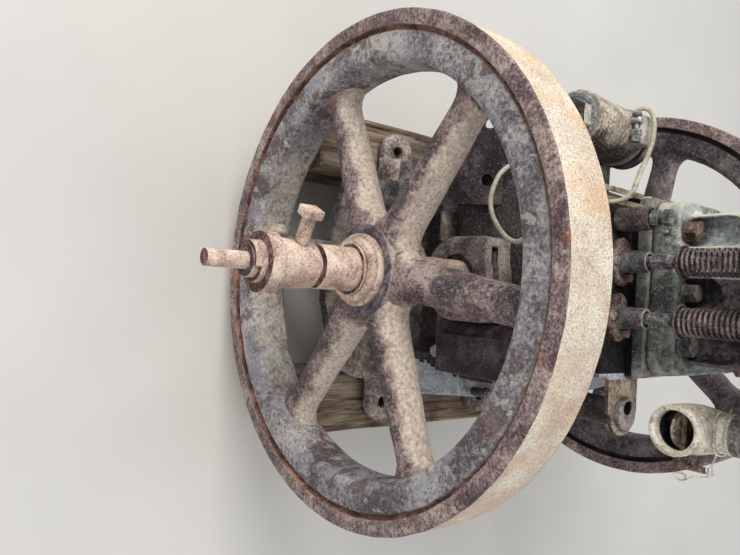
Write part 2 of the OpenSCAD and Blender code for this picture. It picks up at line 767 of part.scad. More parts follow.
// lead from the magneto, a round tube swept along its route
module magneto_lead() {
    sides = 8;
    n = len(lead_points) - 1;
    function stop(i) = lead_points[min(max(i, 0), n)];
    path = [for (i = [0:n - 1], t = [0, 0.5]) on_curve(stop(i - 1), stop(i), stop(i + 1), stop(i + 2), t),
        lead_points[n]];
    m = len(path) - 1;
    function along(i) = let (d = path[min(i + 1, m)] - path[max(i - 1, 0)]) d / norm(d);
    function across(i) = let (c = cross([0, 1, 0], along(i))) c / norm(c);
    points = [for (i = [0:m]) let (u = across(i), v = cross(along(i), u))
        for (k = [0:sides - 1]) path[i] + lead_r * (cos(360 * k / sides) * u + sin(360 * k / sides) * v)];
    caps = [[for (k = [0:sides - 1]) k], [for (k = [0:sides - 1]) m * sides + sides - 1 - k]];
    walls = [for (i = [0:m - 1], k = [0:sides - 1]) [i * sides + k, (i + 1) * sides + k,
        (i + 1) * sides + (k + 1) % sides, i * sides + (k + 1) % sides]];
    color("beige") polyhedron(points = points, faces = concat(caps, walls));
}

module crankshaft() {
    key_w = 12;
    color("rosybrown") difference() {
        union() {
            rod_y(0, -face_y, crank_z, shaft_r, 2 * face_y);
            rod_y(0, face_y - eps, crank_z, pulley_r, overhang + eps);
            rod_y(0, -nose_y + pin_len, crank_z, nose_r, overhang - pin_len + eps);
            rod_y(0, -nose_y, crank_z, pin_r, pin_len + eps);
        }
        translate([-key_w / 2, face_y + 30, crank_z + pulley_r - key_w / 2]) cube([key_w, overhang, key_w]);
    }
}

// cast flywheel: outer face at y = 0, inner face at y = wheel_w, axis along Y
module flywheel_shape(turn) {
    inner = wheel_r - rim_depth;
    groove = 5;
    ring_out = wheel_r - lip_w - groove;
    round = 4;
    rotate([0, turn, 0]) difference() {
        union() {
            rotate([-90, 0, 0]) rotate_extrude($fn = 96)
                polygon([[wheel_r - 2, 0], [wheel_r, 2], [wheel_r, wheel_w - 2], [wheel_r - 2, wheel_w],
                    [wheel_r - lip_w, wheel_w], [wheel_r - lip_w - 2, wheel_w - 9], [ring_out - 2, wheel_w - 9],
                    [ring_out - 4, wheel_w - ring_set], [inner + round, wheel_w - ring_set],
                    [inner, wheel_w - ring_set - round], [inner, ring_set + round],
                    [inner + round, ring_set], [ring_out, ring_set], [ring_out, ring_set + 4],
                    [ring_out + groove, ring_set + 4], [ring_out + groove, 0]]);
            rod_y(0, hub_set, 0, hub_r, wheel_w - hub_set + 6);
            for (i = [0:5]) rotate([0, 60 * i, 0]) translate([0, spoke_in, 0]) union() {
                translate([0, 0, hub_r - 16]) cylinder(h = inner + 26 - hub_r, r1 = spoke_hub_r, r2 = spoke_rim_r);
                translate([0, 0, inner - 24]) cylinder(h = 32, r1 = spoke_rim_r - 1, r2 = spoke_rim_r + 6);
            }
        }
        rod_y(0, -eps, 0, shaft_r + fit, wheel_w + 20);
    }
}

module front_flywheel() {
    color("silver") translate([0, -face_y, crank_z]) flywheel_shape(front_turn);
}

module rear_flywheel() {
    color("silver") translate([0, face_y, crank_z]) rotate([0, 0, 180]) flywheel_shape(-rear_turn);
}

// stepped collar pressed against the front hub
module hub_collar() {
    color("tan") difference() {
        union() {
            rod_y(0, -face_y + 7, crank_z, collar_r, hub_set - 7);
            rod_y(0, -face_y, crank_z, collar_r - 5, 8);
        }
        rod_y(0, -face_y - eps, crank_z, shaft_r + fit, hub_set + 2 * eps);
    }
}

module spacer_sleeve() {
    color("tan") difference() {
        union() {
            rod_y(0, -face_y - spacer_len, crank_z, sleeve_r, spacer_len);
            rod_y(0, -face_y - 4, crank_z, spacer_foot_r, 4);
        }
        rod_y(0, -face_y - spacer_len - eps, crank_z, nose_r + fit, spacer_len + 2 * eps);
    }
}

// turns the set screw and its hole about the shaft
module turned_up() {
    translate([0, 0, crank_z]) rotate([0, screw_turn, 0]) children();
}

// sleeve with a flange and a half-cut dog for the starting handle
module dog_sleeve() {
    notch = 8;
    end_y = dog_y - dog_len - flange_len - step_len;
    color("tan") difference() {
        union() {
            rod_y(0, dog_y - dog_len, crank_z, sleeve_r + dog_taper, dog_len, sleeve_r);
            rod_y(0, dog_y - dog_len - flange_len, crank_z, dog_flange_r, flange_len);
            rod_y(0, end_y, crank_z, sleeve_r - 3, step_len + eps);
        }
        rod_y(0, -nose_y, crank_z, nose_r + fit, nose_y);
        translate([6, end_y - eps, crank_z - sleeve_r]) cube([sleeve_r, notch + eps, 2 * sleeve_r]);
        turned_up() rod_x(-2 * sleeve_r, screw_y, 0, screw_r + fit, 2 * sleeve_r);
    }
}

// square-headed set screw that bears on the nose
module dog_screw() {
    head = 11;
    color("tan") turned_up() union() {
        rod_x(head - screw_reach - eps, screw_y, 0, screw_r, screw_reach - head - nose_r - 0.3 + eps);
        translate([-screw_reach, screw_y - screw_head / 2, -screw_head / 2])
            cube([head, screw_head, screw_head]);
    }
}

left_bearer();
right_bearer();
crankcase();
front_bearing();
rear_bearing();
gear_cover();
gear_plug();
drain_plug();
cam_box();
side_post();
cylinder_block();
cylinder_head();
spark_plug();
exhaust_flange();
water_outlet();
inlet_guide();
exhaust_guide();
inlet_tappet();
exhaust_tappet();
inlet_valve();
exhaust_valve();
inlet_spring();
exhaust_spring();
plunger_tube();
plunger();
intake_elbow();
throttle_body();
intake_pipe();
choke_disc();
choke_lever();
magneto_shelf();
magneto_body();
magneto_ring();
magneto_clamp();
magneto_cap();
magneto_lead();
crankshaft();
front_flywheel();
rear_flywheel();
hub_collar();
spacer_sleeve();
dog_sleeve();
dog_screw();
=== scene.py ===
# Old upright stationary engine with a spoked flywheel at each end of its shaft, on two timbers.
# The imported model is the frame: every piece below sits on it, in metres, Z up, shaft along Y.
import json
import math
import random
from types import SimpleNamespace

import bmesh
import bpy
from mathutils import Matrix, Vector, noise

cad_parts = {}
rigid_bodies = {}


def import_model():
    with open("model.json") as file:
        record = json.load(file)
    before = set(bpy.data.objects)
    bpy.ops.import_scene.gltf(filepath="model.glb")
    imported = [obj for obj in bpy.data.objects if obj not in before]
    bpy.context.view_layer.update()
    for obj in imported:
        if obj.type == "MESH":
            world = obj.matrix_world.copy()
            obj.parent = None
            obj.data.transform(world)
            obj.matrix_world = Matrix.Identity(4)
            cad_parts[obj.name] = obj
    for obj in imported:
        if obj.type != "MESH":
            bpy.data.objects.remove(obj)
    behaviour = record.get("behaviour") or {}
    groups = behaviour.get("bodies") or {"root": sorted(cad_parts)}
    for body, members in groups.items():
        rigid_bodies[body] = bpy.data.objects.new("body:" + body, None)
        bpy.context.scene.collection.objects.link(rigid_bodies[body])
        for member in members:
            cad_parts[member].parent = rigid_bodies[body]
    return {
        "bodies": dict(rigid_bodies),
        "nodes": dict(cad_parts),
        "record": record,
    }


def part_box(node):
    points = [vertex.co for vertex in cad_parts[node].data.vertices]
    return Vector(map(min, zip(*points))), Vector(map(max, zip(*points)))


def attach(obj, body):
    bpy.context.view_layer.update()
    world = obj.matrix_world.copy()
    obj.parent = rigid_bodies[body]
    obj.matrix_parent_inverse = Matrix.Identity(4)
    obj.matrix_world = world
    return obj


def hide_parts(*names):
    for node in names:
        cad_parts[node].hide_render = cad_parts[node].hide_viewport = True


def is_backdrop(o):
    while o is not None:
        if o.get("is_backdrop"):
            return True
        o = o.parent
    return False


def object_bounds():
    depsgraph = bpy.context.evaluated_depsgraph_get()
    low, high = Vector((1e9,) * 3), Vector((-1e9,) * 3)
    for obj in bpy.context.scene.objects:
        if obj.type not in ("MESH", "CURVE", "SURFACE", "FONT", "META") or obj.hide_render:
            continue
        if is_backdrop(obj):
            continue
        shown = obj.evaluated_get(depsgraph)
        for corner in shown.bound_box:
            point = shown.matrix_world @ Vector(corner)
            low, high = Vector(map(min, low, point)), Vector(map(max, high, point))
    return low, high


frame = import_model()
cadLow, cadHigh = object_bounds()
nodes = frame["nodes"]
slotOf = {part["node"]: part["material_slot"] for part in frame["record"]["subparts"]}
mm = 0.001
print("frame loaded,", len(nodes), "nodes")

# camera, at the photograph's angle: close above the front wheel, looking down, turned on its side
camera = {"place": (0.0240, -0.8361, 0.9846), "aim": (0.0081, -0.3046, 0.3300), "roll": 92.32,
          "focalPixels": 690, "imageWidth": 740, "sensor": 36}


def linked(name, data):
    obj = bpy.data.objects.new(name, data)
    bpy.context.scene.collection.objects.link(obj)
    return obj


def spun(axis, degrees):
    return Matrix.Rotation(math.radians(degrees), 3, axis)


def aimed(obj, place, aim, roll=0.0):
    turn = (Vector(aim) - Vector(place)).to_track_quat("-Z", "Y").to_matrix() @ spun("Z", roll)
    obj.matrix_world = Matrix.Translation(place) @ turn.to_4x4()
    return obj


def addCamera(look):
    data = bpy.data.cameras.new("camera")
    data.sensor_width = look["sensor"]
    data.lens = look["focalPixels"] / look["imageWidth"] * look["sensor"]
    data.clip_start = 0.02
    bpy.context.scene.camera = aimed(linked("camera", data), look["place"], look["aim"], look["roll"])


addCamera(camera)


# shader tools; colours are given in per cent, as they look on screen

def shown(*colour):  # turned into the linear colour that nodes take
    linear = (((c + 0.055) / 1.055) ** 2.4 if c > 0.04045 else c / 12.92 for c in (v / 100 for v in colour))
    return (*linear, 1.0)


class Shader:  # one material; an input that gets a socket is linked, anything else is set as its value
    def __init__(self, name, **values):
        self.mat = bpy.data.materials.new(name)
        self.mat.use_nodes = True
        self.tree = self.mat.node_tree
        self.bsdf = self.tree.nodes["Principled BSDF"]
        self.where = self.add("TexCoord", out="Object")
        self.feed(self.bsdf, values)

    def feed(self, node, values):
        for key, value in values.items():
            if isinstance(value, bpy.types.NodeSocket):
                self.tree.links.new(value, node.inputs[key])
            else:
                node.inputs[key].default_value = value

    def add(self, kind, values={}, out=0, **settings):
        node = self.tree.nodes.new("ShaderNode" + kind)
        for key, value in settings.items():
            setattr(node, key, value)
        self.feed(node, values)
        return node.outputs[out]

    def plus(self, a, b):
        return self.add("Math", {0: a, 1: b}, operation="ADD")

    def less(self, a, b):
        return self.add("Math", {0: a, 1: b}, operation="SUBTRACT")

    def times(self, a, b):
        return self.add("Math", {0: a, 1: b}, operation="MULTIPLY")

    def between(self, value, low, high):  # 0 below low, 1 above high, smooth between them
        return self.add("MapRange", {"Value": value, "From Min": low, "From Max": high},
                        interpolation_type="SMOOTHSTEP")

    def blend(self, factor, a, b):
        return self.add("Mix", {0: factor, 6: a, 7: b}, 2, data_type="RGBA")

    def ramp(self, value, at, colours):
        fac = self.add("ValToRGB", {0: value})
        band = fac.node.color_ramp
        while len(band.elements) < len(colours):
            band.elements.new(0.5)
        for element, place, colour in zip(band.elements, at, colours):
            element.position = place
            element.color = shown(*colour)
        return fac

    def cloud(self, scale, detail=6, roughness=0.6, distortion=0.0, stretch=None, shift=0.0):
        where = self.where
        if stretch or shift:
            where = self.add("Mapping", {0: where, "Scale": stretch or (1, 1, 1),
                                         "Location": (shift, shift * 0.7, -shift)})
        return self.add("TexNoise", {"Vector": where, "Scale": scale, "Detail": detail, "Roughness": roughness,
                                     "Distortion": distortion})

    def facing(self, axis):  # how far the surface faces along one of the object's own axes
        return self.add("SeparateXYZ", {0: self.add("TexCoord", out="Normal")}, axis)

    def cornerWear(self, width):  # 1 on edges and corners, 0 on flats and round faces
        soft = self.add("Bevel", {"Radius": width}, samples=4)
        plain = self.add("NewGeometry", out="Normal")
        dot = self.add("VectorMath", {0: soft, 1: plain}, "Value", operation="DOT_PRODUCT")
        return self.between(self.less(1.0, dot), 0.01, 0.16)

    def close(self, colour, height, strength, depth, specular, **values):
        bump = self.add("Bump", {"Strength": strength, "Distance": depth, "Height": height})
        self.feed(self.bsdf, {"Base Color": colour, "Normal": bump, "Specular IOR Level": specular, **values})
        return self.mat


# What lies on a finish. coat: paint or rust in islands; on some finishes a coat leans to faces turned one way,
# for painted shade and painted highlight. grain: specks. rub: bare edges. soot: dirt in corners together with
# painted shade where ambient occlusion finds hollows. settled: dust on what faces up. at: where the colours of a
# list stand on their ramp.
early, late = (0.0, 0.35, 0.7, 1.0), (0.0, 0.4, 0.75, 1.0)
paleDust = (66, 60, 54), (80, 75, 68), (90, 86, 79)
pinkDust = (68, 59, 54), (82, 75, 69), (92, 87, 80)


def coat(scale, start, full, strength, *colours, at=(0.3, 0.7), rise=0.3, shift=3.1, facing=None, ragged=0.62,
         swirl=0.5):
    return SimpleNamespace(**locals())


def grain(scale, start, strength, colour, shift=7.7):
    return SimpleNamespace(**locals())


def rub(width, strength, colour, scale=120):
    return SimpleNamespace(**locals())


# dirt and painted shade in hollows, darkest where ambient occlusion is strongest
def soot(reach, strength, colour):
    return SimpleNamespace(**locals())


def settled(start, full, strength, patchy, colours=pinkDust, scale=55):
    return SimpleNamespace(**locals())


def weathered(name, base, at=late, broad=22, fine=260, fineShare=0.45, contrast=0.11, shift=0.0, metallic=0.0,
              layers=(), specks=(), wear=None, grime=None, dust=None, bump=0.5, bumpDepth=0.0012,
              rough=(0.62, 0.92), specular=0.3):
    s = Shader(name, Metallic=metallic)
    broad = s.cloud(broad, 5, 0.6, 0.6, shift=shift)
    fine = s.cloud(fine, 5, 0.7, shift=shift)
    mottle = s.plus(s.times(broad, 1 - fineShare), s.times(fine, fineShare))
    mottle = s.between(mottle, 0.5 - contrast, 0.5 + contrast)
    colour = s.ramp(mottle, at, base)
    height = s.times(fine, 0.5)
    for over in layers:
        field = s.cloud(over.scale, 8, over.ragged, over.swirl, shift=shift + over.shift)
        if over.facing:
            axis, pull = over.facing
            field = s.plus(field, s.times(s.facing(axis), pull))
        cover = s.between(field, over.start, over.full)
        tone = s.ramp(s.plus(s.times(fine, 0.5), s.times(broad, 0.5)), over.at, over.colours)
        colour = s.blend(s.times(cover, over.strength), colour, tone)
        height = s.plus(height, s.times(cover, over.rise))
    for speck in specks:
        dots = s.between(s.cloud(speck.scale, 2, 0.5, shift=shift + speck.shift), speck.start, speck.start + 0.05)
        colour = s.blend(s.times(dots, speck.strength), colour, shown(*speck.colour))
        height = s.plus(height, s.times(dots, 0.2))
    if wear:
        chips = s.between(s.cloud(wear.scale, 6, 0.65, shift=shift + 11), 0.36, 0.60)
        bare = s.times(s.times(s.cornerWear(wear.width), chips), wear.strength)
        colour = s.blend(bare, colour, shown(*wear.colour))
    # dirt with painted shade: colour darkens toward near black where ambient occlusion finds corners and hollows
    if grime:
        hidden = s.less(1.0, s.add("AmbientOcclusion", {"Distance": grime.reach}, "AO", samples=4))
        soil = s.between(s.plus(hidden, s.times(broad, 0.25)), 0.30, 0.85)
        colour = s.blend(s.times(soil, grime.strength), colour, shown(*grime.colour))
    if dust:
        settle = s.cloud(dust.scale, 6, 0.62, 0.3, shift=shift + 5)
        cover = s.between(s.plus(s.facing(2), s.times(s.less(settle, 0.5), dust.patchy)), dust.start, dust.full)
        colour = s.blend(s.times(cover, dust.strength), colour, s.ramp(fine, (0.35, 0.5, 0.65), dust.colours))
        height = s.plus(height, s.times(cover, 0.12))
    height = s.plus(height, s.times(s.cloud(700, 3, 0.6, shift=shift + 2), 0.35))
    sheen = s.add("MapRange", {"Value": mottle, "To Min": rough[0], "To Max": rough[1]})
    return s.close(colour, height, bump, bumpDepth, specular, Roughness=sheen)


finishes = {
    "wheelTread": dict(base=[(74, 67, 59), (87, 82, 74), (93, 90, 83), (97, 95, 90)], at=early, broad=9,
        fine=460, fineShare=0.6, contrast=0.13,
        layers=[coat(6, 0.52, 0.66, 0.75, (85, 67, 50), (95, 83, 68), rise=0.05),
                coat(11, 0.56, 0.66, 0.6, (84, 80, 73), (95, 93, 87), rise=0.05, shift=9),
                coat(7, 0.68, 0.8, 0.6, (83, 63, 45), (94, 79, 62), rise=0.05, shift=50, facing=(2, 0.2)),
                coat(14, 0.48, 0.7, 0.85, (74, 61, 55), (89, 79, 73), rise=0.05, shift=21, facing=(0, 0.18))],
        specks=[grain(560, 0.59, 0.65, (62, 48, 43)), grain(280, 0.63, 0.6, (66, 52, 46), 31),
                grain(900, 0.61, 0.5, (50, 40, 36), 37)], bump=0.4, rough=(0.8, 0.95), specular=0.2),
    "wheelLip": dict(base=[(30, 24, 25), (48, 41, 41), (61, 53, 52), (74, 67, 63)], broad=26, fine=300,
        fineShare=0.55, shift=4, layers=[coat(30, 0.58, 0.66, 0.7, (50, 28, 18), (66, 42, 30))],
        specks=[grain(520, 0.61, 0.45, (74, 67, 64)), grain(360, 0.61, 0.6, (20, 15, 15), 15)],
        wear=rub(0.003, 0.7, (70, 60, 55)), bump=0.7, rough=(0.6, 0.88)),
    "wheelGroove": dict(base=[(28, 20, 18), (46, 33, 29), (64, 48, 41)], at=(0.0, 0.5, 1.0), broad=40,
        fine=240, shift=9, bump=0.6, rough=(0.75, 0.95)),
    "wheelPaint": dict(base=[(30, 28, 30), (47, 45, 47), (60, 58, 59), (74, 71, 69)], at=early, broad=16,
        fine=200, fineShare=0.5, contrast=0.11, shift=2,
        layers=[coat(17, 0.51, 0.6, 0.6, (52, 53, 57), (63, 64, 67), (74, 74, 75), at=(0.3, 0.6, 0.8),
                     rise=0.3, shift=29),
                coat(24, 0.56, 0.6, 0.8, (28, 22, 23), (42, 34, 33), (54, 43, 38), at=(0.3, 0.6, 0.8), rise=-0.35),
                coat(44, 0.6, 0.65, 0.6, (70, 70, 69), (83, 82, 79), shift=17)],
        specks=[grain(480, 0.62, 0.4, (78, 75, 71)), grain(300, 0.61, 0.6, (34, 24, 21), 23)],
        wear=rub(0.004, 0.6, (76, 71, 65)), dust=settled(0.38, 1.25, 0.65, 1.7, colours=paleDust),
        bump=0.6, rough=(0.5, 0.85)),
    "wheelSpoke": dict(base=[(20, 18, 20), (40, 35, 36), (55, 48, 48), (70, 62, 59)], at=early, broad=20,
        fine=230, fineShare=0.5, contrast=0.11, shift=6,
        layers=[coat(34, 0.56, 0.64, 0.6, (48, 30, 24), (64, 45, 38)),
                # near black coat leaning to faces turned down: painted shade on the spokes' undersides
                coat(28, 0.53, 0.6, 0.65, (15, 15, 18), (30, 28, 31), shift=13, facing=(2, -0.16))],
        specks=[grain(500, 0.61, 0.45, (80, 74, 69)), grain(330, 0.61, 0.6, (46, 29, 24), 27),
                grain(240, 0.64, 0.6, (14, 12, 13), 35)], dust=settled(0.14, 0.66, 0.92, 1.5, scale=42),
        bump=0.7, rough=(0.6, 0.9)),
    "shaftRustAndShade": dict(base=[(57, 47, 43), (78, 68, 62), (88, 78, 71), (95, 88, 80)], at=early, broad=40,
        fine=420, fineShare=0.5, contrast=0.12, shift=12,
        layers=[coat(38, 0.6, 0.68, 0.55, (62, 46, 42), (76, 61, 55)),
                coat(30, 0.56, 0.7, 0.7, (74, 58, 55), (86, 73, 69), shift=22, facing=(0, 0.1)),
                # dark coat on faces turned down: painted shade
                coat(24, 0.6, 0.78, 0.8, (36, 27, 25), (50, 40, 37), shift=25, facing=(2, -0.24))],
        specks=[grain(560, 0.62, 0.5, (54, 40, 37)), grain(420, 0.63, 0.45, (95, 90, 83), 19),
                grain(300, 0.65, 0.6, (34, 25, 23), 41)], grime=soot(0.006, 0.85, (26, 19, 17)), bump=0.7,
        rough=(0.75, 0.95)),
    "castRust": dict(base=[(24, 21, 22), (43, 39, 40), (56, 51, 51), (70, 64, 61)], at=early, broad=24,
        fine=230, shift=15, layers=[coat(32, 0.57, 0.65, 0.5, (42, 31, 26), (58, 46, 39))],
        specks=[grain(460, 0.63, 0.4, (74, 69, 65)), grain(300, 0.62, 0.5, (16, 13, 14), 33)],
        wear=rub(0.003, 0.6, (66, 58, 54)), grime=soot(0.012, 0.8, (10, 8, 8)),
        dust=settled(0.5, 1.25, 0.7, 1.5), bump=0.7),
    # dark oily iron; on the side post's left side it also stands in as painted shade
    "oilyIronAndShade": dict(base=[(12, 11, 12), (21, 20, 22), (31, 30, 31), (42, 40, 39)], broad=30, fine=250,
        shift=18, layers=[coat(42, 0.58, 0.67, 0.5, (34, 26, 23), (47, 38, 34))],
        specks=[grain(420, 0.66, 0.5, (66, 63, 58))], wear=rub(0.002, 0.5, (58, 52, 47)),
        dust=settled(0.5, 1.25, 0.7, 1.4), bump=0.5, rough=(0.45, 0.8)),
    "greenPaintLitAndShaded": dict(base=[(26, 28, 27), (42, 45, 43), (56, 58, 55), (70, 71, 67)], at=early, broad=16,
        fine=180, contrast=0.12, shift=21,
        layers=[coat(15, 0.54, 0.6, 0.8, (26, 22, 20), (42, 35, 31), (56, 46, 39), at=(0.3, 0.6, 0.8), rise=-0.4),
                coat(22, 0.54, 0.62, 0.7, (70, 72, 70), (85, 85, 80), shift=9),
                # dark patches leaning to faces turned down: paint patches and painted shade
                coat(9, 0.52, 0.68, 0.6, (22, 25, 23), (35, 38, 35), shift=15, facing=(2, -0.05)),
                # pale cream on faces turned to -X: worn paint and a painted highlight
                coat(14, 0.62, 0.74, 0.9, (70, 70, 64), (86, 86, 79), shift=18, facing=(0, -0.26), ragged=0.7)],
        specks=[grain(330, 0.62, 0.6, (84, 83, 78)), grain(280, 0.63, 0.5, (24, 20, 18), 25)],
        wear=rub(0.007, 0.9, (88, 87, 81), 50), grime=soot(0.025, 0.85, (9, 9, 8)), bump=0.6,
        rough=(0.45, 0.8)),
    "casePaint": dict(base=[(13, 12, 13), (23, 21, 22), (33, 31, 32), (46, 44, 43)], at=early, broad=14,
        fine=210, contrast=0.12, shift=41,
        layers=[coat(12, 0.66, 0.78, 0.95, (44, 45, 48), (55, 56, 59), (66, 67, 69), at=(0.3, 0.55, 0.75),
                     shift=5, facing=(0, 0.36), ragged=0.7),
                coat(26, 0.57, 0.63, 0.6, (17, 13, 13), (34, 26, 24), rise=-0.3),
                coat(19, 0.56, 0.68, 0.35, (22, 26, 25), (33, 37, 35), shift=12, facing=(2, 0.06))],
        specks=[grain(360, 0.62, 0.5, (66, 62, 59)), grain(240, 0.64, 0.4, (44, 30, 24), 21)],
        wear=rub(0.005, 0.7, (64, 62, 60), 70), grime=soot(0.03, 0.75, (9, 8, 8)),
        dust=settled(0.5, 1.3, 0.55, 1.9), bump=0.6, rough=(0.5, 0.85)),
    "gearPaint": dict(base=[(16, 13, 15), (25, 21, 24), (33, 29, 32), (43, 38, 39)], broad=26, fine=230,
        contrast=0.12, shift=44, layers=[coat(30, 0.59, 0.66, 0.5, (38, 27, 24), (52, 40, 35))],
        specks=[grain(360, 0.65, 0.45, (62, 57, 55))], wear=rub(0.004, 0.7, (62, 56, 53), 80),
        dust=settled(0.5, 1.2, 0.6, 1.5), bump=0.6, rough=(0.5, 0.85)),
    "shelfIron": dict(base=[(12, 10, 11), (20, 18, 19), (29, 26, 27), (42, 38, 38)], at=early, broad=18,
        fine=230, shift=96, layers=[coat(26, 0.58, 0.66, 0.5, (30, 21, 18), (44, 33, 29))],
        specks=[grain(380, 0.63, 0.5, (62, 57, 54))], wear=rub(0.003, 0.6, (50, 45, 43)),
        grime=soot(0.02, 0.8, (7, 6, 6)), dust=settled(0.75, 1.5, 0.6, 1.5), bump=0.6, rough=(0.55, 0.85)),
    # near black painted shade for the inside of the elbow's throat
    "throatPaintedShade": dict(base=[(5, 6, 6), (13, 14, 14), (24, 25, 24), (42, 41, 37)], broad=50, fine=260,
        shift=141, bump=0.5, rough=(0.6, 0.9)),
    "lugDust": dict(base=[(36, 31, 27), (52, 46, 40), (64, 57, 50), (78, 72, 64)], at=early, broad=40,
        fine=280, shift=144, specks=[grain(300, 0.62, 0.6, (24, 19, 17))],
        wear=rub(0.003, 0.7, (84, 80, 73)), grime=soot(0.008, 0.7, (14, 11, 10)), bump=0.7),
    "wireWhite": dict(base=[(56, 52, 50), (80, 77, 75), (96, 95, 93)], at=(0.0, 0.4, 1.0), broad=80,
        fine=400, shift=147, bump=0.3, rough=(0.3, 0.6)),
    "hubFace": dict(base=[(18, 16, 18), (32, 29, 32), (44, 40, 42), (59, 53, 53)], at=early, broad=30,
        fine=280, shift=121, specks=[grain(460, 0.62, 0.5, (70, 63, 60))],
        wear=rub(0.0025, 0.8, (66, 60, 57), 90), dust=settled(0.45, 1.1, 0.7, 1.5), bump=0.6),
    # darker finish for the forward end faces of the shaft pieces: painted shade
    "shaftFaceShaded": dict(base=[(17, 12, 12), (31, 23, 23), (43, 33, 32), (64, 53, 49)], at=early, broad=60,
        fine=320, shift=124, specks=[grain(460, 0.63, 0.5, (80, 70, 64))],
        wear=rub(0.002, 0.8, (84, 74, 68), 110), bump=0.6),
    "flankBlue": dict(base=[(50, 52, 55), (63, 65, 68), (73, 75, 78), (85, 87, 88)], at=early, broad=18,
        fine=210, shift=127, layers=[coat(22, 0.57, 0.63, 0.7, (30, 25, 25), (46, 38, 36), rise=-0.3)],
        specks=[grain(340, 0.63, 0.5, (36, 30, 29))], wear=rub(0.004, 0.7, (40, 30, 26)), bump=0.6,
        rough=(0.45, 0.8)),
    # blue-grey paint made paler as painted light in the shaded pocket, with worn paint and a painted highlight in
    # pale cream on faces turned to -X
    "wallBluePaintedLight": dict(base=[(40, 43, 45), (60, 64, 66), (72, 75, 76), (86, 87, 84)], at=early, broad=18,
        fine=190, shift=131, layers=[coat(24, 0.56, 0.62, 0.7, (36, 31, 28), (54, 46, 40), rise=-0.3),
                coat(17, 0.56, 0.66, 0.9, (76, 75, 67), (90, 89, 81), shift=18, facing=(0, -0.22))],
        specks=[grain(340, 0.63, 0.4, (84, 83, 77))], wear=rub(0.006, 0.9, (88, 87, 80), 60),
        grime=soot(0.01, 0.6, (20, 19, 17)), bump=0.6, rough=(0.45, 0.8)),
    # painted shade for the block's walls right of the middle
    "wallPaintedShade": dict(base=[(13, 11, 12), (26, 24, 26), (39, 36, 37), (56, 53, 51)], at=early, broad=22,
        fine=200, shift=134, layers=[coat(26, 0.58, 0.64, 0.5, (34, 38, 35), (50, 53, 49))],
        wear=rub(0.006, 0.8, (64, 64, 59), 60), bump=0.6, rough=(0.5, 0.85)),
    "discPale": dict(base=[(36, 31, 26), (53, 47, 41), (64, 59, 52), (78, 74, 66)], at=early, broad=70,
        fine=320, shift=137, specks=[grain(420, 0.62, 0.5, (28, 22, 18))],
        wear=rub(0.002, 0.7, (86, 83, 76), 90), bump=0.5),
    # near black painted shade, put in gaps, holes, the oil slot and on the shaded top of the cam box
    "paintedShadeBlack": dict(base=[(3, 3, 3), (7, 6, 6), (13, 11, 11), (24, 21, 19)], at=(0.0, 0.4, 0.8, 1.0),
        broad=40, fine=240, shift=111, bump=0.5, rough=(0.7, 0.95)),
    "footGrey": dict(base=[(26, 23, 22), (47, 42, 40), (63, 57, 54), (80, 75, 71)], at=early, broad=26,
        fine=230, shift=114, layers=[coat(30, 0.56, 0.64, 0.6, (30, 24, 22), (48, 39, 35))],
        specks=[grain(380, 0.62, 0.5, (80, 77, 72))], wear=rub(0.004, 0.8, (78, 78, 76), 70),
        grime=soot(0.02, 0.8, (12, 10, 10)), bump=0.7),
    "lobeRust": dict(base=[(26, 20, 18), (43, 35, 32), (56, 47, 43), (70, 61, 55)], broad=46, fine=280,
        shift=117, specks=[grain(420, 0.62, 0.5, (76, 70, 63)), grain(300, 0.63, 0.5, (22, 16, 14), 8)],
        wear=rub(0.003, 0.6, (70, 60, 54)), grime=soot(0.008, 0.8, (12, 9, 9)), bump=0.7),
    # the rear wheel's paint: a darker copy of the front wheel's, painted shade, with paler patches leaning to faces
    # turned to -X as a painted highlight
    "rearPaintShaded": dict(base=[(15, 13, 15), (27, 24, 26), (38, 35, 36), (52, 48, 47)], at=early, broad=14,
        fine=210, contrast=0.12, shift=99,
        layers=[coat(12, 0.54, 0.66, 0.6, (42, 40, 39), (58, 56, 52), facing=(0, -0.05))],
        specks=[grain(380, 0.62, 0.5, (62, 58, 55)), grain(300, 0.64, 0.5, (34, 22, 19), 23)],
        wear=rub(0.004, 0.5, (60, 55, 52)), dust=settled(0.45, 1.3, 0.7, 1.6), bump=0.6,
        rough=(0.55, 0.85)),
    # darker copy of the front wheel's groove: painted shade
    "rearGrooveShaded": dict(base=[(8, 7, 8), (15, 13, 14), (27, 22, 21)], at=(0.0, 0.5, 1.0), broad=30,
        fine=240, shift=102, bump=0.6, rough=(0.75, 0.95)),
    "tubeIron": dict(base=[(17, 14, 15), (28, 24, 24), (38, 33, 33), (54, 47, 45)], broad=40, fine=280,
        shift=105, specks=[grain(420, 0.62, 0.5, (66, 59, 56)), grain(300, 0.63, 0.5, (12, 10, 10), 12)],
        wear=rub(0.0025, 0.95, (70, 60, 56), 50), bump=0.6),
    "stripBuff": dict(base=[(46, 40, 32), (63, 56, 46), (74, 67, 57), (85, 79, 69)],
        at=(0.0, 0.4, 0.8, 1.0), broad=60, fine=320, shift=108,
        specks=[grain(420, 0.62, 0.5, (40, 34, 27))], bump=0.4),
    "plateGrey": dict(base=[(30, 28, 28), (42, 39, 39), (52, 49, 48), (62, 59, 57)], broad=34, fine=260,
        shift=47, layers=[coat(36, 0.58, 0.66, 0.6, (24, 20, 19), (38, 30, 27))],
        specks=[grain(420, 0.64, 0.5, (74, 72, 70))], wear=rub(0.002, 0.8, (70, 72, 74), 90),
        dust=settled(0.6, 1.4, 0.5, 1.4), bump=0.5),
    "postIron": dict(base=[(13, 12, 12), (22, 20, 20), (32, 28, 27), (46, 41, 38)], broad=50, fine=260,
        shift=51, layers=[coat(48, 0.58, 0.66, 0.6, (36, 25, 20), (52, 40, 33))],
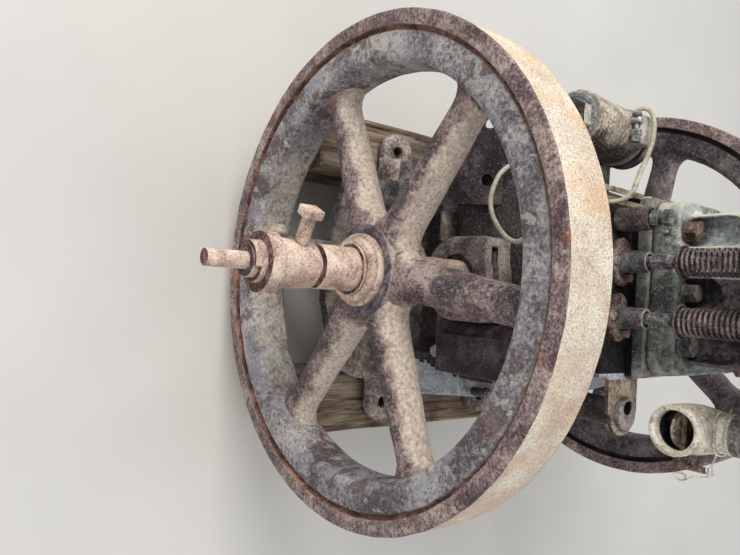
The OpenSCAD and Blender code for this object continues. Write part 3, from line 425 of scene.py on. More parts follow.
        specks=[grain(420, 0.64, 0.5, (68, 63, 58))], wear=rub(0.002, 0.6, (60, 54, 50)), bump=0.6),
    "springRust": dict(base=[(22, 18, 18), (37, 32, 32), (48, 43, 42), (62, 56, 53)], broad=70, fine=420,
        fineShare=0.55, shift=54, specks=[grain(600, 0.62, 0.5, (72, 67, 63)),
                grain(500, 0.64, 0.5, (42, 27, 21), 9)], bump=0.4, bumpDepth=0.0006, rough=(0.5, 0.8)),
    "guideIron": dict(base=[(15, 15, 16), (25, 25, 26), (34, 33, 34), (48, 46, 45)], broad=40, fine=280,
        shift=57, layers=[coat(44, 0.59, 0.66, 0.5, (36, 28, 25), (50, 42, 38))],
        specks=[grain(420, 0.65, 0.5, (70, 67, 63))], wear=rub(0.002, 0.9, (74, 70, 66), 60),
        dust=settled(0.6, 1.3, 0.7, 1.3), bump=0.5),
    "tappetSteel": dict(base=[(22, 21, 22), (36, 35, 36), (48, 47, 47), (64, 63, 61)], broad=60, fine=320,
        shift=60, layers=[coat(55, 0.56, 0.66, 0.6, (34, 27, 27), (50, 40, 40))],
        specks=[grain(500, 0.64, 0.5, (82, 80, 78))], wear=rub(0.0015, 0.8, (74, 73, 70), 90),
        grime=soot(0.006, 0.7, (10, 8, 9)), bump=0.4, rough=(0.45, 0.75)),
    "elbowCream": dict(base=[(64, 59, 53), (83, 79, 72), (92, 88, 82), (98, 96, 91)], at=early, broad=42,
        fine=320, fineShare=0.5, contrast=0.12, shift=66,
        layers=[coat(40, 0.66, 0.7, 0.7, (26, 30, 29), (42, 44, 42), rise=-0.3),
                coat(30, 0.58, 0.7, 0.4, (62, 50, 42), (76, 64, 56), shift=11)],
        specks=[grain(480, 0.61, 0.6, (48, 40, 35))], wear=rub(0.002, 0.7, (95, 93, 88)),
        grime=soot(0.01, 0.7, (30, 26, 23)), bump=0.5, rough=(0.55, 0.85)),
    "collarGrey": dict(base=[(30, 28, 27), (44, 42, 41), (54, 52, 50), (68, 66, 62)], broad=44, fine=300,
        shift=69, layers=[coat(44, 0.58, 0.66, 0.5, (26, 22, 21), (40, 34, 31))],
        specks=[grain(420, 0.64, 0.5, (76, 73, 68))], wear=rub(0.002, 0.95, (86, 85, 81), 50), bump=0.5),
    "magnetoMottleAndShade": dict(base=[(50, 46, 40), (61, 57, 51), (71, 67, 61), (84, 81, 75)], at=early,
        broad=36, fine=260, contrast=0.1, shift=72,
        layers=[coat(60, 0.58, 0.66, 0.45, (42, 37, 31), (55, 50, 43), swirl=0.05),
                coat(46, 0.6, 0.67, 0.6, (68, 54, 49), (80, 68, 62), shift=13),
                # near black coat on faces turned to +X: painted shade on the body's right side
                coat(26, 0.56, 0.68, 0.92, (12, 9, 8), (25, 20, 18), (42, 34, 30), at=(0.3, 0.55, 0.75),
                     shift=33, facing=(0, 0.24), ragged=0.75)],
        specks=[grain(330, 0.58, 0.65, (34, 28, 22)), grain(360, 0.62, 0.5, (90, 87, 78), 14)],
        wear=rub(0.002, 0.6, (86, 83, 77)), bump=0.5, rough=(0.5, 0.8)),
    "capSteel": dict(base=[(34, 37, 38), (49, 51, 52), (61, 61, 60), (76, 74, 70)], broad=44, fine=280,
        shift=75, specks=[grain(420, 0.63, 0.5, (40, 33, 30))], wear=rub(0.0015, 0.6, (84, 84, 82)),
        bump=0.4, rough=(0.45, 0.75)),
    "capPale": dict(base=[(60, 57, 52), (73, 71, 66), (81, 79, 74), (90, 88, 83)], broad=44, fine=320,
        shift=78, specks=[grain(420, 0.64, 0.5, (50, 44, 38))], wear=rub(0.0015, 0.6, (92, 91, 88)),
        grime=soot(0.006, 0.6, (40, 36, 32)), bump=0.4, rough=(0.5, 0.8)),
    "nickel": dict(base=[(50, 50, 49), (64, 64, 63), (76, 76, 75), (86, 86, 84)], at=(0.0, 0.4, 0.8, 1.0),
        broad=80, fine=400, shift=81, metallic=0.75, specks=[grain(520, 0.65, 0.5, (46, 40, 36))],
        bump=0.2, rough=(0.28, 0.5), specular=0.5),
    "crustyBolt": dict(base=[(24, 18, 16), (37, 29, 26), (50, 41, 37), (63, 54, 49)], broad=70, fine=300,
        shift=84, specks=[grain(420, 0.63, 0.5, (72, 65, 60))], wear=rub(0.002, 0.6, (66, 58, 53)),
        grime=soot(0.01, 0.7, (14, 11, 10)), bump=0.9, bumpDepth=0.0016),
    "paleIron": dict(base=[(42, 38, 35), (56, 52, 48), (66, 62, 57), (78, 74, 68)], broad=60, fine=320,
        shift=87, specks=[grain(420, 0.63, 0.5, (38, 30, 26))], wear=rub(0.0015, 0.6, (82, 79, 74)),
        grime=soot(0.006, 0.6, (24, 20, 18)), bump=0.6),
    "leadSheath": dict(base=[(57, 54, 47), (67, 64, 57), (74, 71, 64), (80, 77, 70)], at=(0.0, 0.4, 0.8, 1.0),
                       broad=30, shift=33, bump=0.25, rough=(0.55, 0.75)),
}
materials = {name: weathered(name, **look) for name, look in finishes.items()}
print("materials made:", len(materials))


# mesh tools: a shape is (points, faces, zone of each face), zones choose the material

def joined(*shapes):
    points, faces, zones = [], [], []
    for shape in shapes:
        first = len(points)
        points += shape[0]
        faces += [tuple(i + first for i in face) for face in shape[1]]
        zones += shape[2]
    return points, faces, zones


def moved(shape, place=(0, 0, 0), turn=None):
    place = Vector(place)
    return [(turn @ Vector(p) if turn else Vector(p)) + place for p in shape[0]], shape[1], shape[2]


def inPlace(shape, place=(0, 0, 0), turn=None):  # drawn in mm, put down in metres
    return moved(([Vector(p) * mm for p in shape[0]], shape[1], shape[2]), Vector(place) * mm, turn)


def zoned(shape, zone):
    return shape[0], shape[1], [zone] * len(shape[1])


def circle(sides):
    return [(math.cos(2 * math.pi * i / sides), math.sin(2 * math.pi * i / sides)) for i in range(sides)]


def lofted(rings, capStart=True, capEnd=True, closed=False):  # rings of equal length, joined in order
    size = len(rings[0])
    points = [Vector(p) for ring in rings for p in ring]
    faces = []
    for r in range(len(rings) if closed else len(rings) - 1):
        a, b = r * size, (r + 1) % len(rings) * size
        faces += [(a + i, a + (i + 1) % size, b + (i + 1) % size, b + i) for i in range(size)]
    if capStart and not closed:
        faces.append(tuple(reversed(range(size))))
    if capEnd and not closed:
        faces.append(tuple((len(rings) - 1) * size + i for i in range(size)))
    return points, faces, [0] * len(faces)


def turned(profile, sides=48, closed=False):  # profile of (radius, height) turned round Z
    return lofted([[(r * x, r * y, h) for x, y in circle(sides)] for r, h in profile], closed=closed)


def wheeled(profile, sides):  # the same round the shaft's axis, always closed
    return lofted([[(r * y, h, r * x) for x, y in circle(sides)] for r, h in profile], closed=True)


def arc(x, y, radius, start, end, steps):
    return [(x + radius * math.cos(math.radians(start + (end - start) * i / steps)),
             y + radius * math.sin(math.radians(start + (end - start) * i / steps))) for i in range(steps + 1)]


def rod(radius, height, edge=0.001, sides=32):  # solid rod with rounded ends
    return turned([(radius * 0.5, 0)] + arc(radius - edge, edge, edge, -90, 0, 3)
                  + arc(radius - edge, height - edge, edge, 0, 90, 3) + [(radius * 0.5, height)], sides)


def pipe(outer, inner, height, edge=0.001, sides=40, flare=0.0):  # open tube with rounded rims
    return turned([(inner, edge), (inner + edge, 0)] + arc(outer + flare - edge, edge, edge, -90, 0, 3)
                  + arc(outer - edge, height - edge, edge, 0, 90, 3)
                  + arc(inner + edge, height - edge, edge, 90, 180, 3) + [(inner, height * 0.5)], sides, closed=True)


def hexHead(across, height, sides=48):  # hexagon with the turned chamfer of a real bolt head
    flat = across / 2
    chamfer = flat * 0.98

    def ring(h, limit, tilt):
        made = []
        for i, (x, y) in enumerate(circle(sides)):
            r = flat / math.cos((2 * math.pi * i / sides) % (math.pi / 3) - math.pi / 6)
            made.append((min(r, limit) * x, min(r, limit) * y, h - max(0.0, r - chamfer) * tilt))
        return made
    return lofted([ring(0, across, 0), ring(height, across, 0.6), ring(height, chamfer * 0.99, 0),
                   ring(height, flat * 0.5, 0)])


def threadEnd(radius, base, long, pitch=0.0015):
    turns = int(long / pitch)
    profile = [(radius * 0.5, base - 0.001)]
    for k in range(turns):
        profile += [(radius * 0.90, base + k * pitch), (radius, base + (k + 0.5) * pitch)]
    profile += [(radius * 0.8, base + turns * pitch + 0.0006), (radius * 0.3, base + turns * pitch + 0.0008)]
    return turned(profile, 20)


def slottedScrew(radius, height, slot):  # cheese head with a driver's slot
    halves = []
    for side in (1, -1):
        edge = math.asin(slot / 2 / radius)
        outline = [(radius * math.cos(a), side * radius * math.sin(a))
                   for a in (edge + (math.pi - 2 * edge) * i / 16 for i in range(17))]
        rings = [[(x * k, (y - side * slot / 2) * k + side * slot / 2, h) for x, y in outline[::side]]
                 for h, k in ((height * 0.5, 1.0), (height * 0.85, 0.98), (height, 0.84))]
        halves.append(lofted(rings))
    return joined(rod(radius, height * 0.55, 0.0004, 32), *halves)


def along(axis, spin=0.0):  # turns local Z onto an axis
    return Vector(axis).normalized().to_track_quat("Z", "Y").to_matrix() @ spun("Z", spin)


def smoothPath(stops, steps=8):  # the smooth curve of the source, through every stop, from mm to metres
    stops = [Vector(p) * mm for p in stops]
    path = []
    for i in range(len(stops) - 1):
        a, b, c, d = (stops[min(max(k, 0), len(stops) - 1)] for k in (i - 1, i, i + 1, i + 2))
        for t in (k / steps for k in range(steps)):
            path.append(0.5 * (2 * b + (c - a) * t + (2 * a - 5 * b + 4 * c - d) * t * t
                               + (3 * b - a - 3 * c + d) * t ** 3))
    return path + [stops[-1]]


def swept(path, radius, sides=12):  # round bar along a path; radius may vary along it
    path = [Vector(p) for p in path]
    rings, side = [], None
    for i, p in enumerate(path):
        way = (path[min(i + 1, len(path) - 1)] - path[max(i - 1, 0)]).normalized()
        if side is None:
            side = way.orthogonal().normalized()
        side = (side - way * side.dot(way)).normalized()
        other = way.cross(side)
        r = radius(i / (len(path) - 1)) if callable(radius) else radius
        rings.append([p + (side * x + other * y) * r for x, y in circle(sides)])
    return lofted(rings)


def roundedBox(low, high, edge):
    bm = bmesh.new()
    bmesh.ops.create_cube(bm, size=1)
    for v in bm.verts:
        v.co = Vector(low[i] + (v.co[i] + 0.5) * (high[i] - low[i]) for i in range(3))
    bmesh.ops.bevel(bm, geom=bm.edges[:], offset=edge, segments=3, affect="EDGES", profile=0.5)
    points, faces = [v.co.copy() for v in bm.verts], [tuple(v.index for v in f.verts) for f in bm.faces]
    bm.free()
    return points, faces, [0] * len(faces)


def roughened(points, amount, scale, seed=0.0):  # uneven casting: each point moves a little
    shift = Vector((seed, seed * 1.7, -seed))
    return [p + noise.noise_vector(p * scale + shift) * amount for p in points]


def addPiece(name, shape, body, slot, mats, replaces=(), smooth=38, rough=None):
    points, faces, zones = shape
    if rough:
        points = roughened(points, *rough)
    mesh = bpy.data.meshes.new(name)
    mesh.from_pydata([tuple(p) for p in points], [], faces)
    for mat in mats:
        mesh.materials.append(materials[mat])
    mesh.polygons.foreach_set("material_index", zones)
    mesh.update()
    bm = bmesh.new()
    bm.from_mesh(mesh)
    bmesh.ops.recalc_face_normals(bm, faces=bm.faces)
    bm.to_mesh(mesh)
    bm.free()
    return finishPiece(linked(name, mesh), body, slot, replaces, smooth)


def finishPiece(obj, body, slot, replaces=(), smooth=38):
    obj.data.polygons.foreach_set("use_smooth", [True] * len(obj.data.polygons))
    obj.data.set_sharp_from_angle(angle=math.radians(smooth))
    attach(obj, body)
    if replaces:
        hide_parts(*replaces)
    return obj


def bodyOf(node):
    return next(name for name, empty in frame["bodies"].items() if nodes[node].parent == empty)


def dressed(node, name, shape, mats, **more):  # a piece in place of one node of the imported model
    return addPiece(name, shape, bodyOf(node), slotOf[node], mats, [node], **more)


def addExtra(name, shape, slot, mat, **more):  # a small piece of the scene's own, fixed to the engine
    return addPiece(name, shape, "root", slot, [mat], **more)


def applied(obj):  # the object keeps the mesh that its modifiers make
    bpy.context.view_layer.update()
    obj.data = bpy.data.meshes.new_from_object(obj.evaluated_get(bpy.context.evaluated_depsgraph_get()))
    obj.modifiers.clear()
    return obj.data


def modified(obj, kind, **settings):
    modifier = obj.modifiers.new(kind, kind)
    for key, value in settings.items():
        setattr(modifier, key, value)


sharpAngle = math.radians(34)


def castCopy(node, edge, mats, steps=3, rough=None, zone=None, grid=None):
    # a node's own shape with its edges rounded as cast; a grid size rounds every corner of a rough casting
    bm = bmesh.new()
    bm.from_mesh(nodes[node].data)
    bmesh.ops.remove_doubles(bm, verts=bm.verts, dist=2e-6)
    bmesh.ops.dissolve_limit(bm, angle_limit=math.radians(0.5), verts=bm.verts, edges=bm.edges)
    weight = bm.edges.layers.float.new("bevel_weight_edge")
    for e in bm.edges:
        if edge and len(e.link_faces) == 2 and e.calc_face_angle() > sharpAngle:
            reach = min(e.calc_length(), *(min(o.calc_length() for o in v.link_edges) for v in e.verts))
            e[weight] = max(0.12, min(1.0, max(reach, 0.3 * e.calc_length()) / (2.4 * edge)))
    mesh = bpy.data.meshes.new(node + "_cast")
    bm.to_mesh(mesh)
    bm.free()
    obj = linked(node + "_cast", mesh)
    if grid:
        modified(obj, "REMESH", mode="VOXEL", voxel_size=grid)
        modified(obj, "SMOOTH", factor=0.5, iterations=steps)
    else:
        modified(obj, "BEVEL", width=edge, segments=steps, limit_method="WEIGHT", use_clamp_overlap=False)
    made = applied(obj)
    made.materials.clear()
    for mat in mats:
        made.materials.append(materials[mat])
    made.polygons.foreach_set("material_index", [zone(p.center, p.normal) if zone else 0 for p in made.polygons])
    if rough:
        for v in made.vertices:
            v.co = roughened([v.co.copy()], *rough)[0]
    return finishPiece(obj, bodyOf(node), slotOf[node], [node])


# magneto lead, along the route of the source
lead = {
    "radius": 3.0,
    "stops": [(-226.4, -27, 505), (-229, -26, 511), (-229.5, -25, 517), (-227, -24.5, 523), (-221, -24.5, 528),
              (-211, -26, 531.5), (-199, -29.5, 534.5), (-183, -36.5, 537), (-164.5, -48, 539), (-142, -66, 541.5),
              (-130.5, -78, 545), (-119.5, -89, 548.5), (-111.5, -99, 552), (-106.5, -108.5, 554),
              (-100.5, -115.5, 552.5), (-96.5, -121.5, 545), (-95.5, -128.5, 533), (-96, -139, 516),
              (-96, -152, 498), (-88, -165, 483), (-70, -172, 474), (-54, -173, 462), (-47, -172, 447),
              (-50, -171, 432), (-61, -170, 417), (-81, -166, 399), (-102, -162, 390), (-123, -154, 388),
              (-141, -144, 390), (-154, -132, 402), (-159.5, -118, 424), (-162, -107, 446), (-163.8, -98, 466)],
}


def makeLead(look):
    path = smoothPath(look["stops"])
    data = bpy.data.curves.new("magneto_lead_cord", "CURVE")
    data.dimensions = "3D"
    data.bevel_depth = look["radius"] * mm
    data.bevel_resolution = 5
    data.use_fill_caps = True
    line = data.splines.new("POLY")
    line.points.add(len(path) - 1)
    for point, p in zip(line.points, path):
        point.co = (*p, 1)
    data.materials.append(materials["leadSheath"])
    obj = linked("magneto_lead_cord", data)
    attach(obj, "root")
    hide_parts("magneto_lead")
    length = sum((b - a).length for a, b in zip(path, path[1:]))
    print("lead laid,", round(length, 3), "m")


makeLead(lead)

# flywheels: turned rim, hub, and six spokes that swell into both
wheel = {
    "radius": 305, "width": 69, "lip": 18, "groove": 5, "grooveDeep": 8, "ringSet": 4, "depth": 58,
    "hub": 56, "hubSet": 16, "hubBack": 75, "hubProud": 1.2, "bore": 25.2,
    "spokeMiddle": 42, "spokeHub": 25.5, "spokeRim": 20, "web": 26,
    "faceY": 334.5, "axleZ": 330, "edge": 2.5,
}


def rimShape(look, sides=240):
    outer, wide, front, floor, edge = (look[key] for key in ("radius", "width", "ringSet", "grooveDeep", "edge"))
    lipIn = outer - look["lip"]
    ringOut = lipIn - look["groove"]
    inner = outer - look["depth"]
    flat = look["lip"] - 4
    runs = [
        (1, arc(outer - edge, edge, edge, -90, 0, 4)[:-1]),
        (0, [(outer, edge + (wide - 5) * k / 8) for k in range(8)]),
        (1, arc(outer - edge, wide - edge, edge, 0, 90, 4)[:-1]),
        (1, [(outer - edge - flat * k / 4, wide) for k in range(5)]),
        (2, [(lipIn, wide - 1.5), (lipIn - 1, wide - 8), (ringOut, wide - 9), (ringOut - 2, wide - front - 0.5)]),
        (3, [(ringOut - 3 - (ringOut - inner - 12) * k / 5, wide - front) for k in range(6)]),
        (3, arc(inner + 9, wide - front - 9, 9, 90, 180, 5)),
        (3, [(inner - 1.6 * math.cos(math.pi * (k - 4) / 10), wide / 2 - (k - 4) * (wide / 2 - 15) / 4.5)
             for k in range(1, 8)]),
        (3, arc(inner + 9, front + 9, 9, 180, 270, 5)),
        (3, [(inner + 12 + (ringOut - inner - 15) * k / 5, front - 0.5 * math.sin(math.pi * k / 5))
             for k in range(6)]),
        (3, arc(ringOut - 2, front + 2, 2, -90, 0, 3)),
        (2, [(ringOut + 0.5, floor - 0.5), (ringOut + 1.5, floor), (lipIn - 1.5, floor), (lipIn - 0.5, floor - 0.5)]),
        (1, [(lipIn, 1.5), (lipIn + 0.5, 0.4), (lipIn + 1.5, 0)]),
        (1, [(lipIn + 1.5 + flat * k / 4, 0) for k in range(1, 4)]),
    ]
    points, faces, _ = wheeled([p for zone, run in runs for p in run], sides)
    zones = [zone for zone, run in runs for p in run]
    return points, faces, [zones[f // sides] for f in range(len(faces))]


def spokeShape(look, angle, sides=28, steps=26):
    hubEdge, rimEdge, web = look["hub"], look["radius"] - look["depth"], look["web"]
    start, end = hubEdge - 12, rimEdge + 6
    rings = []
    for k in range(steps + 1):
        t = k / steps
        r = start + (end - start) * (t - math.sin(4 * math.pi * t) * 0.05)
        share = (r - hubEdge) / (rimEdge - hubEdge)
        half = look["spokeHub"] + (look["spokeRim"] - look["spokeHub"]) * share
        near = (max(0.0, min(1.0, 1 - away / web)) for away in (r - hubEdge, rimEdge - r))
        swellHub, swellRim = (web * (1 - math.sqrt(max(0.0, 1 - n ** 2))) for n in near)
        across = half + swellHub * 0.5 + swellRim
        deep = half * 0.97 + swellRim * 0.12
        rings.append([(across * x, look["spokeMiddle"] + deep * y, r) for x, y in circle(sides)])
    return moved(lofted(rings), turn=spun("Y", angle))


def hubShape(look):
    r, back, bore = look["hub"], look["hubBack"], look["bore"]
    front = look["hubSet"] - look["hubProud"]
    return wheeled([(bore, front + 2), (bore + 1, front), (r - 6, front)] + arc(r - 1.8, front + 1.8, 1.8, -90, 0, 4)
                   + [(r, front + 12), (r - 1, (front + back) / 2), (r, back - 12)]
                   + arc(r - 4, back - 4, 4, 0, 90, 4) + [(bore + 1, back), (bore, back - 2)], 96)


def makeWheel(end, look, turnBy, back, mats):
    spokes = joined(*[spokeShape(look, 60 * k) for k in range(6)])
    points, faces, zones = joined(rimShape(look), zoned(spokes, 4), zoned(hubShape(look), 5))
    points = roughened([Vector(p) for p in points], 0.55, 0.045, 3.0 if back else 0.0)
    points = roughened(points, 0.22, 0.16, 8.0)
    turn = spun("Y", turnBy)
    if back:
        turn = spun("Z", 180) @ turn
    place = Vector((0, look["faceY"] if back else -look["faceY"], look["axleZ"]))
    points = [(turn @ p + place) * mm for p in points]
    dressed(end + "_flywheel", end + "_wheel_casting", (points, faces, zones), mats)


makeWheel("front", wheel, 8, False, ["wheelTread", "wheelLip", "wheelGroove", "wheelPaint", "wheelSpoke", "hubFace"])
# the rear wheel takes darker finishes than the front one, the lip's dark rust on its tread too: painted shade
makeWheel("rear", wheel, 17.5, True, ["wheelLip", "wheelLip", "rearGrooveShaded", "rearPaintShaded", "rearPaintShaded", "rearPaintShaded"])
print("flywheels made")


# shaft end in front of the wheel: collar, sleeves, starting dog, set screw
def shaftZone(centre, normal):  # end faces that look forward get a darker finish, painted shade
    return 1 if normal.y < -0.85 else 0


for node, edge in (("crankshaft", 1.2), ("spacer_sleeve", 1.2), ("dog_sleeve", 1.6)):
    castCopy(node, edge * mm, ["shaftRustAndShade", "shaftFaceShaded"], rough=(0.00025, 60.0), zone=shaftZone)
for node, edge in (("hub_collar", 1.6), ("dog_screw", 1.8)):
    castCopy(node, edge * mm, ["shaftRustAndShade"], rough=(0.00025, 60.0))
print("shaft end made")

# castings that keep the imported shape, with soft edges
softCastings = {
    "rear_bearing": (4.0, "castRust"), "exhaust_flange": (2.0, "castRust"), "water_outlet": (2.0, "greenPaintLitAndShaded"),
    "gear_plug": (1.0, "paleIron"), "drain_plug": (1.2, "paleIron"), "magneto_shelf": (2.0, "shelfIron"),
    "throttle_body": (1.5, "collarGrey"), "intake_pipe": (1.5, "oilyIronAndShade"), "choke_disc": (0.5, "discPale"),
    "choke_lever": (1.0, "lobeRust"), "magneto_ring": (1.5, "oilyIronAndShade"), "magneto_clamp": (2.2, "capPale"),
    "spark_plug": (0.8, "capPale"),
}
for node, (edge, mat) in softCastings.items():
    castCopy(node, edge * mm, [mat])


def caseZone(centre, normal):  # green mouth under the cylinder, near black painted shade in the gap below it, pale flank, broken feet
    if centre.z > 0.545 and normal.y < -0.5:
        return 1 if centre.z > 0.5655 else 2
    if normal.y < -0.3 and 0.18 < centre.z < 0.40:
        edge = 0.140 - max(0.0, 0.335 - centre.z) ** 2 * 1.2 + 0.004 * noise.noise(centre * 60)
        if centre.x > edge:
            return 4
    return 3 if centre.z < 0.176 and abs(centre.x) > 0.150 else 0


def boxZone(centre, normal):  # the top between the guides is painted shade, near black; the lug on the right is dusty
    if centre.x < 0.100:
        return 1 if centre.z > 0.548 else 0
    if normal.z > 0.4:
        return 2 if centre.x > 0.107 + 0.002 * noise.noise(centre * 150) else 4
    return 3 if centre.x > 0.118 else 0


def blockZone(centre, normal):  # walls above the foot flange: pale on the left with painted light, dark painted shade on the right
    if not 0.6125 < centre.z < 0.716 or normal.z > 0.8 or centre.y > -0.062:
        return 0
    return 1 if centre.x < -0.012 else 2


bearingLow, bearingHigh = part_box("front_bearing")


def slotZone(centre, normal):  # the oil slot is painted shade inside, near black
    inside = bearingLow.y + 0.0135 < centre.y < bearingLow.y + 0.0257 and abs(centre.x) < 0.0435
    return 1 if inside and bearingHigh.z - 0.06 < centre.z < bearingHigh.z - 0.005 and abs(normal.y) > 0.5 else 0


roughCastings = {
    "crankcase": (["casePaint", "greenPaintLitAndShaded", "paintedShadeBlack", "footGrey", "flankBlue"], 5, 4.2, 0.0009, 28.0, caseZone),
    "cam_box": (["lobeRust", "paintedShadeBlack", "lugDust", "postIron", "flankBlue"], 3, 2.4, 0.0009, 28.0, boxZone),
    "cylinder_block": (["greenPaintLitAndShaded", "wallBluePaintedLight", "wallPaintedShade"], 6, 3.2, 0.0009, 28.0, blockZone),
    "cylinder_head": (["greenPaintLitAndShaded"], 4, 3.0, 0.0008, 30.0, None),
    "gear_cover": (["gearPaint"], 6, 2.0, 0.0009, 28.0, None),
}
for node, (mats, steps, grid, amount, scale, zone) in roughCastings.items():
    castCopy(node, 0, mats, steps=steps, grid=grid * mm, rough=(amount, scale), zone=zone)
castCopy("front_bearing", 4.0 * mm, ["castRust", "paintedShadeBlack"], zone=slotZone)
print("castings made")

# valve gear, in one row
valveX = {"inlet": 36, "exhaust": -26}
valveY = -134.5

# springs: round wire, end turns closed and flat
spring = {"radius": 13.5, "wire": 1.5, "turns": 15, "leadIn": 3.6, "endTurn": 1, "perTurn": 32}


def makeSpring(end, look):
    low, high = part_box(end + "_spring")
    radius, leadIn, turns, endTurn = look["radius"] * mm, look["leadIn"] * mm, look["turns"], look["endTurn"]
    base, top = low.z + look["wire"] * mm, high.z - look["wire"] * mm
    middle = low.x + (look["radius"] + look["wire"]) * mm
    rise = top - base - 2 * leadIn
    path = []
    for k in range(turns * look["perTurn"] + 1):
        t = k / look["perTurn"]
        climb = min(max((t - endTurn) / (turns - 2 * endTurn), 0), 1)
        ends = min(t, endTurn) + max(t - turns + endTurn, 0)
        path.append((middle + radius * math.cos(2 * math.pi * t), valveY * mm + radius * math.sin(2 * math.pi * t),
                     base + leadIn * ends + rise * climb))
    dressed(end + "_spring", end + "_spring_coil", swept(path, look["wire"] * mm), ["springRust"], smooth=60)


# tappet guides: tapered tubes on a two-lobed flange, with a slotted screw in front and a nut behind
guide = {"top": 39, "radius": 11.5, "foot": 12.8, "bore": 8.1, "flange": 7, "waist": 17, "ear": 13, "earOut": 14,
         "earBack": 3, "z": 558}


def lobedOutline(look):
    outline = []
    for way in circle(120):
        way, reach = Vector(way), look["waist"]
        for side in (-1, 1):
            lobe = Vector((side * look["earOut"], look["earBack"]))
            lengthwise = lobe.dot(way)
            off = lobe.length_squared - lengthwise ** 2
            if off < look["ear"] ** 2:
                reach = max(reach, lengthwise + math.sqrt(look["ear"] ** 2 - off))
        outline.append(way * reach)
    return outline


def makeGuide(end, look):
    x, bore, foot, radius, high, top = valveX[end], *(look[k] for k in ("bore", "foot", "radius", "top", "flange"))
    body = turned([(bore, 1), (foot, 0.5), (foot + 0.4, top - 0.5)] + arc(foot + 2.0, top + 1.8, 2.0, 250, 190, 4)
                  + [(radius + 0.3, high - 7)] + arc(radius - 1.0, high - 1.4, 1.4, 0, 90, 4)
                  + arc(bore + 1, high - 1, 1, 90, 180, 3), 56, closed=True)
    outline = lobedOutline(look)

    def ring(height, inset):
        inner = [p * max(0.0, 1 - inset / p.length) for p in outline]
        return [(q.x, q.y, height + 1.1 * noise.noise(Vector((q.x * 0.09, q.y * 0.09, x * 0.1)))) for q in inner]
    plate = lofted([ring(0, 0), ring(top - 2.4, -0.4), ring(top - 0.9, 0.5), ring(top - 0.1, 2.2), ring(top, 6.0),
                    ring(top, 9.0)])
    screw = moved(slottedScrew(4.6, 3.4, 1.3), (-1, -14.8, top - 0.4), Matrix.Rotation(0.35 + x * 0.01, 3, "Z"))
    nut = moved(hexHead(9.5, 7.5), (17, 8, top - 0.6))
    shape = joined(body, zoned(plate, 1), zoned(screw, 2), zoned(nut, 1))
    dressed(end + "_guide", end + "_guide_casting", inPlace(shape, (x, valveY, look["z"])),
            ["guideIron", "lobeRust", "paleIron"], rough=(0.0003, 110.0))


# tappets: neck, hexagon adjuster with a domed top, thin stem
adjuster = {"across": 15.4, "from": 602, "long": 17.5, "neck": 6.4, "dome": 6.2, "stem": 4.4, "neckFrom": 560}


def makeTappet(end, look):
    base, stem, dome, low = look["from"], look["stem"], look["dome"], look["neckFrom"]
    wide, top = look["across"] / 2 - 0.5, base + look["long"]
    neck = moved(rod(look["neck"], base + 1 - low, 0.5, 36), (0, 0, low))
    nut = moved(hexHead(look["across"], look["long"]), (0, 0, base), spun("Z", 30))
    under = moved(hexHead(look["across"], 4), (0, 0, base + 0.2), spun("Z", 30) @ spun("X", 180))
    bend = [(stem + (wide - stem) * math.cos(math.radians(a)) ** 0.8, top + dome * math.sin(math.radians(a)))
            for a in range(10, 91, 16)]
    cap = turned([(wide - 2, top - 1), (wide, top - 0.4)] + bend
                 + [(stem, top + dome + 4.6), (1, top + dome + 4.8)], 36)
    shape = joined(neck, nut, moved(under, (0, 0, 3.9)), cap)
    dressed(end + "_tappet", end + "_tappet_steel", inPlace(shape, (valveX[end], valveY, 0)), ["tappetSteel"],
            rough=(0.00018, 200.0))


# valve stem with a thin dished retainer whose lip holds the spring
retainer = {"z": 630, "lip": 17.6, "floor": 13.4, "rise": 5.4, "wall": 1.1, "stem": 4, "top": 715}


def makeRetainer(end, look):
    z, lip, floor, rise, wall, stem = (look[k] for k in ("z", "lip", "floor", "rise", "wall", "stem"))
    dish = turned([(stem - 1, z), (floor - 3, z), (floor, z + 0.5), (lip - 1.6, z + rise * 0.5)]
                  + arc(lip - wall * 0.5, z + rise - wall * 0.4, wall * 0.7, -40, 160, 5)
                  + [(lip - 1.6 - wall, z + rise * 0.5 + wall), (floor - 1, z + 0.5 + wall),
                     (stem + 1.4, z + 0.2 + wall), (stem + 0.8, z + 3.4), (stem - 1, z + 3.8)], 64, closed=True)
    pin = moved(rod(stem, look["top"] - z + 1, 0.5, 28), (0, 0, z - 1))
    dressed(end + "_valve", end + "_retainer", inPlace(joined(dish, pin), (valveX[end], valveY, 0)), ["springRust"],
            rough=(0.0003, 120.0))


for make, look in ((makeSpring, spring), (makeGuide, guide), (makeTappet, adjuster), (makeRetainer, retainer)):
    for end in valveX:
        make(end, look)

# plunger: two hexagons with a round waist between them, in an open tube
plunger = {"x": -73, "from": 560, "low": 597, "lowLong": 9, "waist": 5.2, "high": 611, "highLong": 9.5, "across": 16}
tube = {"radius": 12.8, "bore": 9.5, "edge": 1.3}


def makePlunger(look):
    start, waist, high = look["from"], look["waist"], look["high"]
    lower = moved(hexHead(look["across"] - 0.6, look["lowLong"]), (0, 0, look["low"]), spun("Z", 24))
    upper = moved(hexHead(look["across"], look["highLong"]), (0, 0, high), spun("Z", 6))
    shank = moved(rod(waist, high + 1 - start, 0.6, 36), (0, 0, start))
    collar = moved(rod(waist + 1.4, 1.8, 0.6, 36), (0, 0, high - 1.8))
    dressed("plunger", "plunger_steel", inPlace(joined(lower, shank, collar, upper), (look["x"], valveY, 0)),
            ["tappetSteel"], rough=(0.00018, 200.0))


def makeTube(look):
    low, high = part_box("plunger_tube")
    shape = pipe(look["radius"] * mm, look["bore"] * mm, high.z - low.z, look["edge"] * mm, 48, 0.0007)
    dressed("plunger_tube", "plunger_tube_casting", moved(shape, ((low.x + high.x) / 2, (low.y + high.y) / 2, low.z)),
            ["tubeIron"], rough=(0.0004, 80.0))


